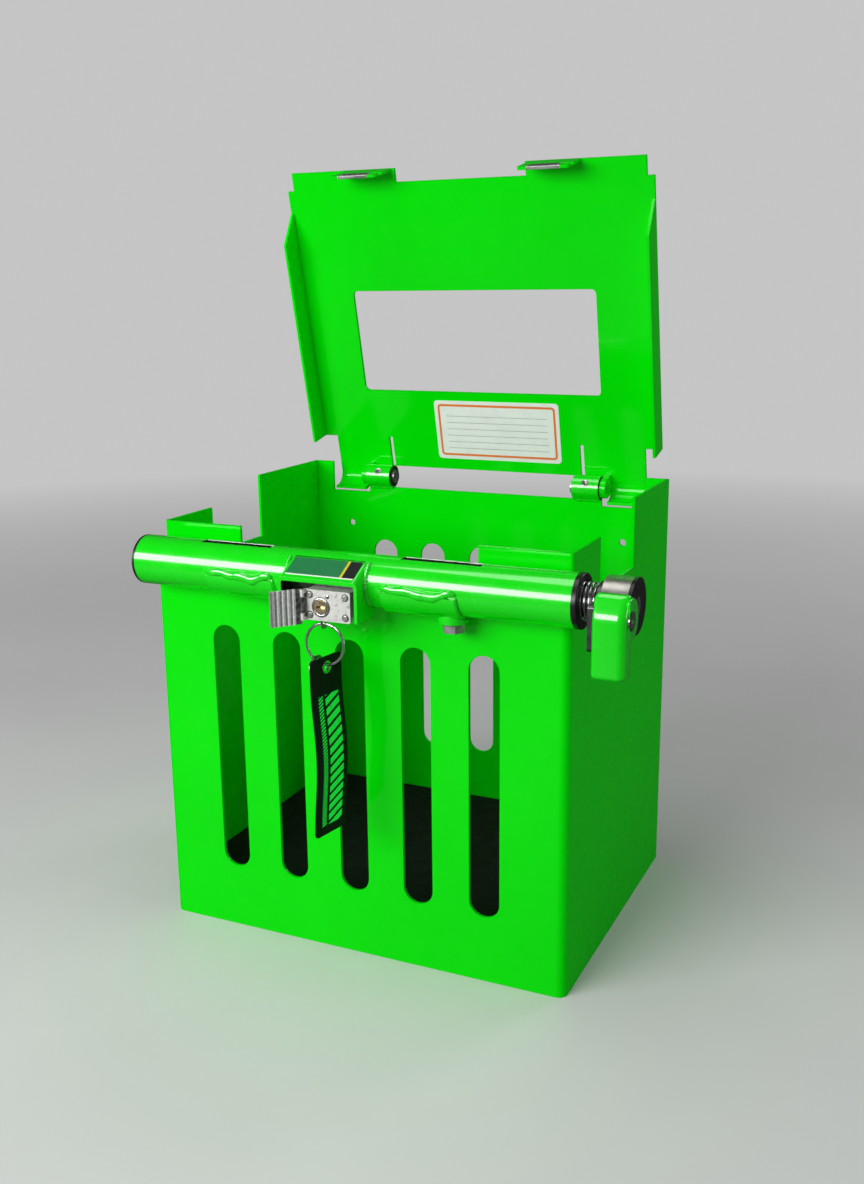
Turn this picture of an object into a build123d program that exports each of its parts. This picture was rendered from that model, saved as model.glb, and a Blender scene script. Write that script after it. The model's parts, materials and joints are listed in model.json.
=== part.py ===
from build123d import *
import os
from math import acos, asin, atan2, cos, radians, sin, sqrt

os.makedirs("parts", exist_ok=True)

# Frame: X to the right, Y to the back, Z up, origin on the ground under the middle of the cage.

# Cage, folded and welded sheet steel
cage_width = 400.0
cage_depth = 300.0
sheet = 3.0
bend_radius = 8.0
wing_rise = 13.0
wing_depth = 122.0
back_edge_drop = 12.0
vent_width = 28.0
vent_count = 5
front_vent_pitch = 63.0
front_vent_bottom = 61.0
front_vent_top = 297.0
back_vent_pitch = 57.0
back_vent_bottom = 90.0
back_vent_top = 321.0
wall_hole_diameter = 7.0
wall_hole_spacing = 310.0
wall_hole_height = 338.0
mat_thickness = 35.0
mat_clearance = 1.0
mat_edge_radius = 3.0

# Corner brackets behind the tube
bracket_rise = 30.0
bracket_drop = 78.0
bracket_front_length = 82.0
bracket_side_depth = 72.0
bracket_setback = 14.0

# Lock tube across the front
tube_diameter = 44.0
tube_wall = 3.0
tube_overhang_left = -6.0
tube_overhang_right = 12.0
tube_forward = 16.0
tube_height = 356.0
tube_slot_length = 70.0
tube_slot_width = 8.0
tube_slot_shift = 1.2
saddle_thickness = 2.5
saddle_length = 66.0
saddle_inner_offset = 51.0
saddle_start_angle = 188.0
saddle_sweep = 112.0

# Locking bar in the tube
bar_diameter = 30.0
neck_diameter = 24.0
neck_gap = 4.0
spigot_radius = 8.0
spigot_length = 12.0
bar_fit = 0.05
bar_stroke = 12.0
bar_slot_width = 9.0
bar_slot_margin = 3.5
bar_slot_floor = 8.0
cross_pin_diameter = 6.0
cross_pin_rise = 5.0
cross_pin_gap = 3.0
bar_end_gap = 2.0
pocket_diameter = 9.0
pocket_depth = 9.0
groove_depth = 5.0
groove_play = 0.4

# End cap and bush of the tube
cap_rim = 3.0
cap_rim_radius = 22.0
cap_plug_length = 30.0
cap_fit = 0.1
bush_flange = 5.0
bush_flange_radius = 22.4
bush_sleeve = 25.0
bush_land = 10.0

# Return spring
spring_wire = 2.0
spring_mean_radius = 14.8
spring_turns = 9
spring_gap = 12.5
spring_clearance = 0.1
pocket_clearance = 0.7

# Bar head, handle plate and pull handle
plate_thickness = 5.0
plate_width = 34.0
plate_front = 35.0
plate_drop = 30.0
plate_rise = 6.0
head_radius = 22.4
head_length = 21.0
end_disc = 3.0
core_radius = 7.0
core_length = 16.0
keyway_width = 2.2
keyway_height = 8.0
head_bore_depth = 8.0
handle_front = 37.0
handle_depth = 14.0
handle_top = 15.0
handle_drop = 48.0
handle_wall = 3.0
handle_round = 7.0
handle_edge = 2.5
handle_gap = 0.3
lobe_radius = 17.0
handle_screw_forward = 26.5
handle_screw_drop = 5.0
handle_screw_radius = 6.5
handle_screw_head = 1.6
handle_screw_shank = 2.5
handle_screw_length = 16.0

# Stop bolt under the tube
stop_x = 106.0
boss_radius = 13.0
boss_below = 6.0
hex_across_flats = 17.0
hex_height = 6.4
stop_shank = 10.0
stop_tip_gap = 0.5
washer_radius = 10.0
washer_thickness = 1.6

# Lid
lid_side_gap = 9.0
lid_open_from_upright = 13.0
lid_gap_to_barrel = 1.0
lid_rest_gap = 0.4
lid_tab_length = 13.0
lid_tab_inset = 7.0
lid_tab_inner = 68.0
lid_shoulder = 17.5
lid_flange_depth = 24.0
lid_flange_start = 39.0
lid_flange_clearance = 3.0
lid_flange_chamfer = 28.0
lid_rear_inset = 17.0
lid_middle_start = 7.0
lid_slit_x = 108.0
lid_slit_width = 4.0
lid_slit_end = 40.0
window_half_width = 131.0
window_bottom = 92.0
window_top = 198.0
window_radius = 5.0
hook_inner = 72.0
hook_length = 50.0
hook_depth = 34.0
hook_corner = 3.0
hook_lead = 0.8
hook_notch_clearance = 1.2
label_x = 17.0
label_reach = 51.0
label_width = 138.0
label_height = 64.0
label_radius = 4.0
label_thickness = 0.6
curl_sweep = 108.0

# Hinges
hinge_height = 392.0
barrel_radius = 12.5
barrel_length = 28.0
barrel_inner = 103.0
pin_radius = 4.5
pin_fit = 0.05
pin_head_radius = 7.0
pin_head = 3.0
eye_radius = 10.0
eye_thickness = 6.0
eye_gap = 0.5
curl_clearance = 2.0
ear_clearance = 3.0
tab_foot = 2.0
set_screw_radius = 3.5
set_screw_length = 7.0
set_screw_tilt = 30.0
set_screw_socket = 2.0

# Lock in the middle of the tube
shroud_half_width = 37.0
shroud_front = 52.0
shroud_rise = 5.5
shroud_drop = 28.5
shroud_back = 28.0
shroud_bend = 5.0
weld_gap = 0.05
lock_centre_x = 8.5
lock_width = 42.0
lock_front_setback = 2.0
lock_drop = 29.5
lock_height = 26.0
lock_depth = 22.0
lock_corner = 2.0
lock_plug_x = 2.3
lock_plug_drop = 18.0
plug_proud = 0.8
plug_radius = 6.0
plug_length = 8.0
plug_fit = 0.05
lock_bolt_x = 21.0
lock_bolt_drop = 7.5
lock_bolt_length = 14.0
lock_bolt_radius = 3.0
lock_bolt_fit = 0.05
lock_bolt_gap = 1.5
rivet_radius = 2.4
rivet_height = 1.0
rivet_inset = 4.5

# Dust cover of the lock
cover_thickness = 1.2
cover_width = 27.0
cover_height = 30.0
cover_drop = 4.0
cover_lip = 2.0
cover_rib_radius = 1.3
cover_rib_first = 7.0
cover_rib_pitch = 4.5
cover_rib_count = 4
cover_pin_radius = 1.2
cover_pin_forward = 3.0
cover_pin_offset = 0.5
cover_lug_height = 6.0
cover_lug_gap = 0.4
cover_open_angle = 130.0
cover_knuckle_radius = 2.1

# Key ring, key and fob
staple_x = 1.0
staple_setback = 7.0
staple_wire = 2.4
staple_span = 8.0
staple_drop = 7.0
staple_bend = 2.5
ring_wire = 2.6
ring_radius = 17.6
link_gap = 0.3
fob_width = 40.0
fob_length = 157.0
fob_thickness = 2.0
fob_corner = 3.0
fob_turn = 80.0
fob_top = 9.0
eyelet_radius = 5.5
eyelet_barrel = 4.0
eyelet_hole = 3.5
eyelet_flange = 0.5
key_bow_radius = 11.0
key_blade_length = 30.0
key_blade_width = 7.0
key_thickness = 2.0
key_hole = 7.5
key_hole_rise = 5.0
key_ring_angle = 30.0
key_bit_count = 4

# Places worked out from the sizes
half_width = cage_width / 2
front_y = -cage_depth / 2
back_y = cage_depth / 2
notch_back = back_y - wing_depth
tube_radius = tube_diameter / 2
tube_inner_radius = tube_radius - tube_wall
tube_y = front_y - tube_forward
tube_left = -half_width - tube_overhang_left
tube_right = half_width + tube_overhang_right
tube_slot_y = tube_y - tube_slot_shift
saddle_radius = tube_radius + saddle_thickness
front_height = tube_height - sqrt(tube_radius**2 - tube_forward**2)
hook_outer = hook_inner + hook_length
hook_middle = hook_inner + hook_length / 2
wing_height = hinge_height + wing_rise
back_edge_height = hinge_height - back_edge_drop
bracket_height = tube_height + bracket_rise

bar_radius = bar_diameter / 2
neck_radius = neck_diameter / 2
bar_left = tube_left + bar_stroke + bar_end_gap
cross_pin_radius = cross_pin_diameter / 2
cross_pin_height = tube_height + cross_pin_rise
flange_right = tube_right + bush_flange
sleeve_left = tube_right - bush_sleeve
neck_left = sleeve_left - neck_gap
spring_left = sleeve_left + bush_land
spring_pocket_radius = spring_mean_radius + spring_wire / 2 + pocket_clearance
plate_left = flange_right + spring_gap
plate_right = plate_left + plate_thickness
head_right = plate_right + head_length
disc_right = head_right + end_disc
handle_left = plate_right + handle_gap
handle_right = disc_right + handle_gap + handle_wall

hinge_y = back_y - sheet / 2
lid_half_width = half_width - lid_side_gap
lid_tab_half_width = lid_half_width - lid_tab_inset
lid_rear_half_width = lid_half_width - lid_rear_inset
lid_offset = barrel_radius + lid_gap_to_barrel
eye_inner = barrel_inner + barrel_length + eye_gap
eye_outer = eye_inner + eye_thickness
curl_floor = hinge_height - lid_offset - sheet - curl_clearance
curl_outer = lid_rear_half_width + ear_clearance
pin_bore = pin_radius + pin_fit

# Slope of the closed lid, resting on the corner brackets
bracket_front_y = front_y + bracket_setback
rest_run = hinge_y - bracket_front_y
rest_drop = hinge_height - bracket_height - lid_rest_gap
rest_reach = sqrt(rest_run**2 + rest_drop**2)
lid_slope = asin(lid_offset / rest_reach) + atan2(rest_drop, rest_run)
hook_reach = (hinge_y - tube_y + hook_lead) / cos(lid_slope)
lid_front_reach = hook_reach + sheet / 2
lid_middle_reach = lid_front_reach - lid_tab_length
flange_run = hinge_y - bracket_front_y - sheet - lid_flange_clearance
lid_flange_end = flange_run / cos(lid_slope)
hook_fall = hinge_height - cross_pin_height - hook_reach * sin(lid_slope)
notch_depth = lid_offset + hook_fall / cos(lid_slope)

shroud_front_y = front_y - shroud_front
shroud_front_top = tube_height + shroud_rise
shroud_bottom = tube_height - shroud_drop
lock_bottom = tube_height - lock_drop
lock_plug_height = tube_height - lock_plug_drop
lock_front_y = shroud_front_y + lock_front_setback
lock_left = lock_centre_x - lock_width / 2
lock_middle_z = lock_bottom + lock_height / 2
lock_bolt_height = tube_height - lock_bolt_drop
pocket_floor_y = tube_y - bar_radius + pocket_depth
cover_pin_x = lock_left - cover_pin_offset
cover_pin_y = lock_front_y - cover_pin_forward
staple_y = lock_front_y + staple_setback
ring_z = lock_bottom - staple_drop + staple_wire / 2 + link_gap + ring_wire / 2 - ring_radius
fob_hole_z = ring_z - ring_radius + ring_wire / 2 + link_gap - eyelet_hole

lid_lean = radians(lid_open_from_upright)
lid_along = (0, -sin(lid_lean), cos(lid_lean))
lid_inward = (0, -cos(lid_lean), -sin(lid_lean))


def export(part, name):
    part.label = name
    export_step(part, f"parts/{name}.step")


def across_tube(x):
    return Plane(origin=(x, tube_y, tube_height), x_dir=(0, 1, 0), z_dir=(1, 0, 0))


def across_hinge(x):
    return Plane(origin=(x, hinge_y, hinge_height), x_dir=(0, 1, 0), z_dir=(1, 0, 0))


def facing_front(y):
    return Plane(origin=(0, y, 0), x_dir=(1, 0, 0), z_dir=(0, -1, 0))


def on_lid(inward):
    origin = [c + inward * d for c, d in zip((0, hinge_y, hinge_height), lid_inward)]
    return Plane(origin=origin, x_dir=(1, 0, 0), z_dir=lid_inward)


def beside_lid(x):
    return Plane(origin=(x, hinge_y, hinge_height), x_dir=lid_along, z_dir=(1, 0, 0))


def across_lid(reach):
    origin = [c + reach * d for c, d in zip((0, hinge_y, hinge_height), lid_along)]
    return Plane(origin=origin, x_dir=(1, 0, 0), z_dir=lid_along)


# Folded shell: front wall and both side walls from one sheet, open to the back
with BuildPart() as front_shell:
    with BuildSketch():
        Rectangle(cage_width, cage_depth)
        fillet(vertices().group_by(Axis.Y)[0], bend_radius)
        with BuildSketch(mode=Mode.PRIVATE) as hollow:
            with Locations((0, sheet / 2)):
                Rectangle(cage_width - 2 * sheet, cage_depth - sheet)
            fillet(hollow.vertices().group_by(Axis.Y)[0], bend_radius - sheet)
        add(hollow.sketch, mode=Mode.SUBTRACT)
    extrude(amount=wing_height)
    with BuildSketch(Plane.YZ):
        with BuildLine():
            Polyline(
                (front_y - sheet, front_height),
                (notch_back, front_height),
                (notch_back, wing_height + sheet),
                (front_y - sheet, wing_height + sheet),
                close=True,
            )
        make_face()
    extrude(amount=cage_width, both=True, mode=Mode.SUBTRACT)
    with BuildSketch(facing_front(front_y)):
        with Locations((0, (front_vent_bottom + front_vent_top) / 2)):
            with GridLocations(front_vent_pitch, 0, vent_count, 1):
                SlotOverall(front_vent_top - front_vent_bottom, vent_width, rotation=90)
    extrude(amount=2 * sheet, both=True, mode=Mode.SUBTRACT)
export(front_shell.part, "front_shell")

# Back wall between the side walls, lower in the middle, with mounting holes
with BuildPart() as back_panel:
    with BuildSketch(facing_front(back_y - sheet)):
        inner_half = half_width - sheet
        pad_outer = barrel_inner + barrel_length + 1
        right_edge = [
            (pad_outer, back_edge_height),
            (pad_outer, curl_floor),
            (curl_outer, curl_floor),
            (curl_outer, wing_height),
            (inner_half, wing_height),
            (inner_half, 0),
        ]
        left_edge = [(-x, z) for x, z in reversed(right_edge)]
        with BuildLine():
            Polyline(*right_edge, *left_edge, close=True)
        make_face()
        with Locations((0, (back_vent_bottom + back_vent_top) / 2)):
            with GridLocations(back_vent_pitch, 0, vent_count, 1):
                SlotOverall(back_vent_top - back_vent_bottom, vent_width, rotation=90, mode=Mode.SUBTRACT)
        with Locations((0, wall_hole_height)):
            with GridLocations(wall_hole_spacing, 0, 2, 1):
                Circle(wall_hole_diameter / 2, mode=Mode.SUBTRACT)
    extrude(amount=-sheet)
    # Seats of the hinge barrels in the top edge
    for side in (-1, 1):
        with BuildSketch(across_hinge(side * barrel_inner)):
            Circle(barrel_radius)
        extrude(amount=side * barrel_length, mode=Mode.SUBTRACT)
export(back_panel.part, "back_panel")

# Floor plate and the rubber mat on it
with BuildPart() as floor_panel:
    with BuildSketch():
        Rectangle(cage_width - 2 * sheet, cage_depth - 2 * sheet)
        fillet(vertices().group_by(Axis.Y)[0], bend_radius - sheet)
    extrude(amount=sheet)
export(floor_panel.part, "floor_panel")

with BuildPart() as floor_mat:
    mat_inset = 2 * (sheet + mat_clearance)
    with BuildSketch(Plane.XY.offset(sheet)):
        Rectangle(cage_width - mat_inset, cage_depth - mat_inset)
        fillet(vertices(), bend_radius - sheet)
    extrude(amount=mat_thickness)
    fillet(faces().sort_by(Axis.Z)[-1].edges(), mat_edge_radius)
export(floor_mat.part, "floor_mat")


# Corner brackets behind the tube ends, one leg on the side wall
def corner_bracket(side):
    wall = side * (half_width - sheet)
    leg_end = wall - side * bracket_front_length
    with BuildPart() as bracket:
        with BuildSketch(Plane.XY.offset(bracket_height - bracket_drop)):
            with BuildLine():
                Polyline(
                    (leg_end, bracket_front_y),
                    (wall, bracket_front_y),
                    (wall, bracket_front_y + bracket_side_depth),
                    (wall - side * sheet, bracket_front_y + bracket_side_depth),
                    (wall - side * sheet, bracket_front_y + sheet),
                    (leg_end, bracket_front_y + sheet),
                    close=True,
                )
            corner = make_face().vertices().filter_by_position(Axis.Y, bracket_front_y, bracket_front_y)
            fillet(corner.sort_by(lambda v: side * v.X)[-1], sheet)
        extrude(amount=bracket_drop)
    return bracket.part


export(corner_bracket(-1), "corner_bracket_left")
export(corner_bracket(1), "corner_bracket_right")

# Lock tube with two slots in its top for the lid hooks
with BuildPart() as lock_tube:
    with BuildSketch(across_tube(tube_left)):
        Circle(tube_radius)
        Circle(tube_inner_radius, mode=Mode.SUBTRACT)
    extrude(amount=tube_right - tube_left)
    with BuildSketch(Plane.XY.offset(tube_height)):
        with Locations((-hook_middle, tube_slot_y), (hook_middle, tube_slot_y)):
            Rectangle(tube_slot_length, tube_slot_width)
    extrude(amount=tube_diameter, mode=Mode.SUBTRACT)
    # Holes for the stop bolt and for the lock bolt
    with BuildSketch(Plane.XY.offset(tube_height)):
        with Locations((stop_x, tube_y)):
            Circle(stop_shank / 2 + bar_fit)
    extrude(amount=-tube_diameter, mode=Mode.SUBTRACT)
    with BuildSketch(facing_front(tube_y)):
        with Locations((lock_bolt_x, lock_bolt_height)):
            Circle(lock_bolt_radius + lock_bolt_fit)
    extrude(amount=tube_diameter, mode=Mode.SUBTRACT)
export(lock_tube.part, "lock_tube")


# Half-round doubler plates on the lower front of the tube
def tube_saddle(side):
    start = side * (saddle_inner_offset + saddle_length / 2) - saddle_length / 2
    rays = [radians(saddle_start_angle + saddle_sweep * k / 2) for k in range(3)]
    reach = tube_diameter
    with BuildPart() as saddle:
        with BuildSketch(across_tube(start)):
            with BuildLine():
                Polyline((0, 0), *[(reach * cos(a), reach * sin(a)) for a in rays], close=True)
            make_face()
            Circle(saddle_radius, mode=Mode.INTERSECT)
            Circle(tube_radius, mode=Mode.SUBTRACT)
        extrude(amount=saddle_length)
        if side > 0:
            with BuildSketch(Plane.XY.offset(tube_height)):
                with Locations((stop_x, tube_y)):
                    Circle(stop_shank / 2 + bar_fit)
            extrude(amount=-tube_diameter, mode=Mode.SUBTRACT)
    return saddle.part


export(tube_saddle(-1), "tube_saddle_left")
export(tube_saddle(1), "tube_saddle_right")

# Cap in the left end of the tube, bush with the spring seat in the right end
with BuildPart() as tube_end_cap:
    with BuildSketch(across_tube(tube_left - cap_rim)):
        Circle(cap_rim_radius)
    extrude(amount=cap_rim)
    fillet(edges().sort_by(Axis.X)[0], cap_rim / 3)
    with BuildSketch(across_tube(tube_left)):
        Circle(tube_inner_radius - cap_fit)
        Circle(bar_radius + bar_fit, mode=Mode.SUBTRACT)
    extrude(amount=cap_plug_length)
export(tube_end_cap.part, "tube_end_cap")

with BuildPart() as tube_end_bush:
    with BuildSketch(across_tube(sleeve_left)):
        Circle(tube_inner_radius - cap_fit)
    extrude(amount=bush_sleeve)
    with BuildSketch(across_tube(tube_right)):
        Circle(bush_flange_radius)
    extrude(amount=bush_flange)
    fillet(edges().sort_by(Axis.X)[-1], bush_flange / 3)
    with BuildSketch(across_tube(spring_left)):
        Circle(spring_pocket_radius)
    extrude(amount=bush_sleeve + bush_flange, mode=Mode.SUBTRACT)
    with BuildSketch(across_tube(sleeve_left)):
        Circle(neck_radius + bar_fit)
    extrude(amount=bush_sleeve, mode=Mode.SUBTRACT)
export(tube_end_bush.part, "tube_end_bush")

# Return spring between the bush and the handle plate
with BuildPart() as return_spring:
    end_gap = spring_wire / 2 + spring_clearance
    coil_length = plate_left - spring_left - 2 * end_gap
    with BuildLine() as coil:
        Helix(
            pitch=coil_length / spring_turns,
            height=coil_length,
            radius=spring_mean_radius,
            center=(spring_left + end_gap, tube_y, tube_height),
            direction=(1, 0, 0),
        )
    with BuildSketch(Plane(origin=coil.line @ 0, z_dir=coil.line % 0)):
        Circle(spring_wire / 2)
    sweep(is_frenet=True)
export(return_spring.part, "return_spring")

# Locking bar with hook slots, lock pockets and the groove of the stop bolt
slot_length = hook_length + bar_stroke + 2 * bar_slot_margin
slot_middles = [start - bar_slot_margin + slot_length / 2 for start in (-hook_outer, hook_inner)]
with BuildPart() as locking_bar:
    with BuildSketch(across_tube(bar_left)):
        Circle(bar_radius)
    extrude(amount=neck_left - bar_left)
    with BuildSketch(across_tube(neck_left)):
        Circle(neck_radius)
    extrude(amount=plate_left - neck_left)
    with BuildSketch(across_tube(plate_left)):
        Circle(spigot_radius)
    extrude(amount=spigot_length)
    with BuildSketch(Plane.XY.offset(tube_height - bar_slot_floor)):
        with Locations(*[(x, tube_y) for x in slot_middles]):
            Rectangle(slot_length, bar_slot_width)
    extrude(amount=bar_diameter, mode=Mode.SUBTRACT)
    with BuildSketch(facing_front(pocket_floor_y)):
        with Locations((lock_bolt_x, lock_bolt_height), (lock_bolt_x + bar_stroke, lock_bolt_height)):
            Circle(pocket_diameter / 2)
    extrude(amount=bar_diameter, mode=Mode.SUBTRACT)
    groove_width = stop_shank + 2 * groove_play
    with BuildSketch(Plane.XY.offset(tube_height - bar_radius + groove_depth)):
        with Locations((stop_x + bar_stroke / 2, tube_y)):
            SlotOverall(groove_width + bar_stroke, groove_width)
    extrude(amount=-bar_diameter, mode=Mode.SUBTRACT)
    with BuildSketch(facing_front(tube_y)):
        with Locations(*[(hook_end + cross_pin_gap + cross_pin_radius, cross_pin_height)
                         for hook_end in (-hook_inner, hook_outer)]):
            Circle(cross_pin_radius + bar_fit)
    extrude(amount=bar_diameter, both=True, mode=Mode.SUBTRACT)
export(locking_bar.part, "locking_bar")

# Pins across the bar slots that catch the hooks
with BuildPart() as cross_pins:
    with BuildSketch(facing_front(tube_y)):
        with Locations(*[(hook_end + cross_pin_gap + cross_pin_radius, cross_pin_height)
                         for hook_end in (-hook_inner, hook_outer)]):
            Circle(cross_pin_radius)
    extrude(amount=sqrt(bar_radius**2 - (cross_pin_rise + cross_pin_radius) ** 2), both=True)
export(cross_pins.part, "cross_pins")

# Plate that carries the pull handle at the end of the bar
with BuildPart() as handle_plate:
    with BuildSketch(across_tube(plate_left)):
        Circle(plate_width / 2)
        with Locations((-plate_front / 2, (plate_rise - plate_drop) / 2)):
            RectangleRounded(plate_front, plate_rise + plate_drop, handle_edge)
        Circle(spigot_radius + bar_fit, mode=Mode.SUBTRACT)
    extrude(amount=plate_thickness)
export(handle_plate.part, "handle_plate")

with BuildPart() as bar_head:
    with BuildSketch(across_tube(plate_right)):
        Circle(head_radius)
        Circle(core_radius + bar_fit, mode=Mode.SUBTRACT)
    extrude(amount=head_length)
    with BuildSketch(across_tube(plate_right)):
        Circle(spigot_radius + bar_fit)
    extrude(amount=head_bore_depth, mode=Mode.SUBTRACT)
export(bar_head.part, "bar_head")

with BuildPart() as head_end_disc:
    with BuildSketch(across_tube(head_right)):
        Circle(head_radius)
        Circle(core_radius + bar_fit, mode=Mode.SUBTRACT)
    extrude(amount=end_disc)
export(head_end_disc.part, "head_end_disc")

# Turning core in the end of the head
with BuildPart() as end_core:
    with BuildSketch(across_tube(disc_right - core_length)):
        Circle(core_radius)
    extrude(amount=core_length)
    with BuildSketch(across_tube(disc_right)):
        Rectangle(keyway_width, keyway_height)
    extrude(amount=-core_length / 2, mode=Mode.SUBTRACT)
export(end_core.part, "end_core")

# Pull handle in front of the head, with a cheek over the end of the head
handle_middle = ((handle_depth - 2 * handle_front) / 2, (handle_top - handle_drop) / 2)
screw_place = (-handle_screw_forward, -handle_screw_drop)
with BuildPart() as pull_handle:
    with BuildSketch(across_tube(handle_left)):
        with Locations(handle_middle):
            Rectangle(handle_depth, handle_top + handle_drop)
        front_corners = vertices().group_by(Axis.X)[0]
        fillet(front_corners, handle_round)
    extrude(amount=handle_right - handle_left)
    with BuildSketch(across_tube(handle_right - handle_wall)):
        with Locations((screw_place[0] + handle_edge, screw_place[1])):
            Circle(lobe_radius)
        with Locations((-handle_front, screw_place[1])):
            Rectangle(2 * handle_round, 4 * lobe_radius, mode=Mode.SUBTRACT)
    extrude(amount=handle_wall)
    fillet(faces().sort_by(Axis.X)[-1].outer_wire().edges(), handle_edge / 2)
    fillet(faces().sort_by(Axis.X)[0].outer_wire().edges(), handle_edge)
    with BuildSketch(across_tube(handle_right)):
        with Locations(screw_place):
            Circle(handle_screw_radius + handle_gap)
    extrude(amount=-handle_screw_head, mode=Mode.SUBTRACT)
    with BuildSketch(across_tube(handle_right)):
        with Locations(screw_place):
            Circle(handle_screw_shank + bar_fit)
    extrude(amount=-handle_screw_length - handle_gap, mode=Mode.SUBTRACT)
export(pull_handle.part, "pull_handle")

with BuildPart() as handle_screw:
    with BuildSketch(across_tube(handle_right - handle_screw_head)):
        with Locations(screw_place):
            Circle(handle_screw_radius)
    extrude(amount=handle_screw_head)
    with BuildSketch(across_tube(handle_right)):
        with Locations(screw_place):
            Circle(handle_screw_shank)
    extrude(amount=-handle_screw_length)
    with BuildSketch(across_tube(handle_right)):
        with Locations(screw_place):
            RegularPolygon(handle_screw_shank, 6)
    extrude(amount=-handle_screw_head / 2, mode=Mode.SUBTRACT)
export(handle_screw.part, "handle_screw")

# Stop bolt under the tube, in a welded boss
boss_bottom = tube_height - tube_radius - boss_below
with BuildPart() as stop_boss:
    with BuildSketch(Plane.XY.offset(boss_bottom)):
        with Locations((stop_x, tube_y)):
            Circle(boss_radius)
            Circle(stop_shank / 2 + bar_fit, mode=Mode.SUBTRACT)
    extrude(amount=tube_radius)
    with BuildSketch(across_tube(stop_x - boss_radius)):
        Circle(saddle_radius + weld_gap)
    extrude(amount=2 * boss_radius, mode=Mode.SUBTRACT)
export(stop_boss.part, "stop_boss")

with BuildPart() as stop_washer:
    with BuildSketch(Plane.XY.offset(boss_bottom)):
        with Locations((stop_x, tube_y)):
            Circle(washer_radius)
            Circle(stop_shank / 2 + bar_fit, mode=Mode.SUBTRACT)
    extrude(amount=-washer_thickness)
export(stop_washer.part, "stop_washer")

stop_head_top = boss_bottom - washer_thickness
stop_tip = tube_height - bar_radius + groove_depth - stop_tip_gap
with BuildPart() as stop_bolt:
    with BuildSketch(Plane.XY.offset(stop_head_top)):
        with Locations((stop_x, tube_y)):
            RegularPolygon(hex_across_flats / 2, 6, major_radius=False)
    extrude(amount=-hex_height)
    with BuildSketch(Plane.XY.offset(stop_head_top)):
        with Locations((stop_x, tube_y)):
            Circle(stop_shank / 2)
    extrude(amount=stop_tip - stop_head_top)
export(stop_bolt.part, "stop_bolt")

# Lid: one sheet with a window, two front tabs, side flanges and curled rear tabs
with BuildPart() as lid_pan:
    with BuildSketch(on_lid(-lid_offset)):
        slit_outer = lid_slit_x + lid_slit_width / 2
        slit_inner = lid_slit_x - lid_slit_width / 2
        right_side = [
            (lid_tab_inner, lid_middle_reach),
            (lid_tab_inner, lid_front_reach),
            (lid_tab_half_width, lid_front_reach),
            (lid_tab_half_width, lid_front_reach - lid_shoulder),
            (lid_half_width, lid_front_reach - lid_shoulder),
            (lid_half_width, lid_flange_start),
            (lid_rear_half_width, lid_flange_start),
            (lid_rear_half_width, 0),
            (eye_outer, 0),
            (eye_outer, tab_foot),
            (slit_outer, tab_foot),
            (slit_outer, lid_slit_end),
            (slit_inner, lid_slit_end),
            (slit_inner, lid_middle_start),
        ]
        left_side = [(-x, s) for x, s in reversed(right_side)]
        with BuildLine():
            Polyline(*right_side, *left_side, close=True)
        make_face()
        with Locations((0, (window_bottom + window_top) / 2)):
            RectangleRounded(
                2 * window_half_width, window_top - window_bottom, window_radius, mode=Mode.SUBTRACT
            )
    extrude(amount=-sheet)
    for x in (-lid_half_width, lid_half_width - sheet):
        with BuildSketch(beside_lid(x)):
            with BuildLine():
                Polyline(
                    (lid_flange_start, -lid_offset - sheet),
                    (lid_flange_start, lid_flange_depth - lid_offset),
                    (lid_flange_end - lid_flange_chamfer, lid_flange_depth - lid_offset),
                    (lid_flange_end, -lid_offset),
                    (lid_flange_end, -lid_offset - sheet),
                    close=True,
                )
            make_face()
        extrude(amount=sheet)
    for x in (-lid_rear_half_width, eye_outer):
        with BuildSketch(beside_lid(x)):
            with BuildLine():
                inner_arc = CenterArc((0, 0), lid_offset, -90, -curl_sweep)
                outer_arc = CenterArc((0, 0), lid_offset + sheet, -90, -curl_sweep)
                Line(inner_arc @ 0, outer_arc @ 0)
                Line(inner_arc @ 1, outer_arc @ 1)
            make_face()
        extrude(amount=lid_rear_half_width - eye_outer)
    for x in (-eye_outer, eye_inner):
        with BuildSketch(beside_lid(x)):
            Circle(eye_radius)
            with Locations((0, -(lid_offset + sheet / 2) / 2)):
                Rectangle(2 * eye_radius, lid_offset + sheet / 2)
            Circle(pin_bore, mode=Mode.SUBTRACT)
        extrude(amount=eye_thickness)
export(lid_pan.part, "lid_pan")


# Hooks under the front tabs, each with a notch open to the right
def lid_hook(side):
    start = side * hook_middle - hook_length / 2
    with BuildPart() as hook:
        with BuildSketch(across_lid(hook_reach - sheet / 2)):
            with Locations((side * hook_middle, lid_offset - hook_depth / 2)):
                Rectangle(hook_length, hook_depth)
            fillet(vertices().group_by(Axis.Y)[0], hook_corner)
            with Locations((start + hook_length - bar_stroke / 2, lid_offset - notch_depth)):
                Rectangle(bar_stroke, cross_pin_diameter + 2 * hook_notch_clearance, mode=Mode.SUBTRACT)
        extrude(amount=sheet)
    return hook.part


export(lid_hook(-1), "lid_hook_left")
export(lid_hook(1), "lid_hook_right")

with BuildPart() as lid_label:
    with BuildSketch(on_lid(-lid_offset)):
        with Locations((label_x, label_reach)):
            RectangleRounded(label_width, label_height, label_radius)
    extrude(amount=label_thickness)
export(lid_label.part, "lid_label")


# Hinge barrels on the back wall, pins through them, set screws that hold the pins
def screw_plane(x, outward):
    tilt = radians(set_screw_tilt)
    radial = (0, -cos(tilt), sin(tilt))
    origin = [c + outward * d for c, d in zip((x, hinge_y, hinge_height), radial)]
    return Plane(origin=origin, x_dir=(1, 0, 0), z_dir=radial)


barrel_middle = barrel_inner + barrel_length / 2


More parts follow.
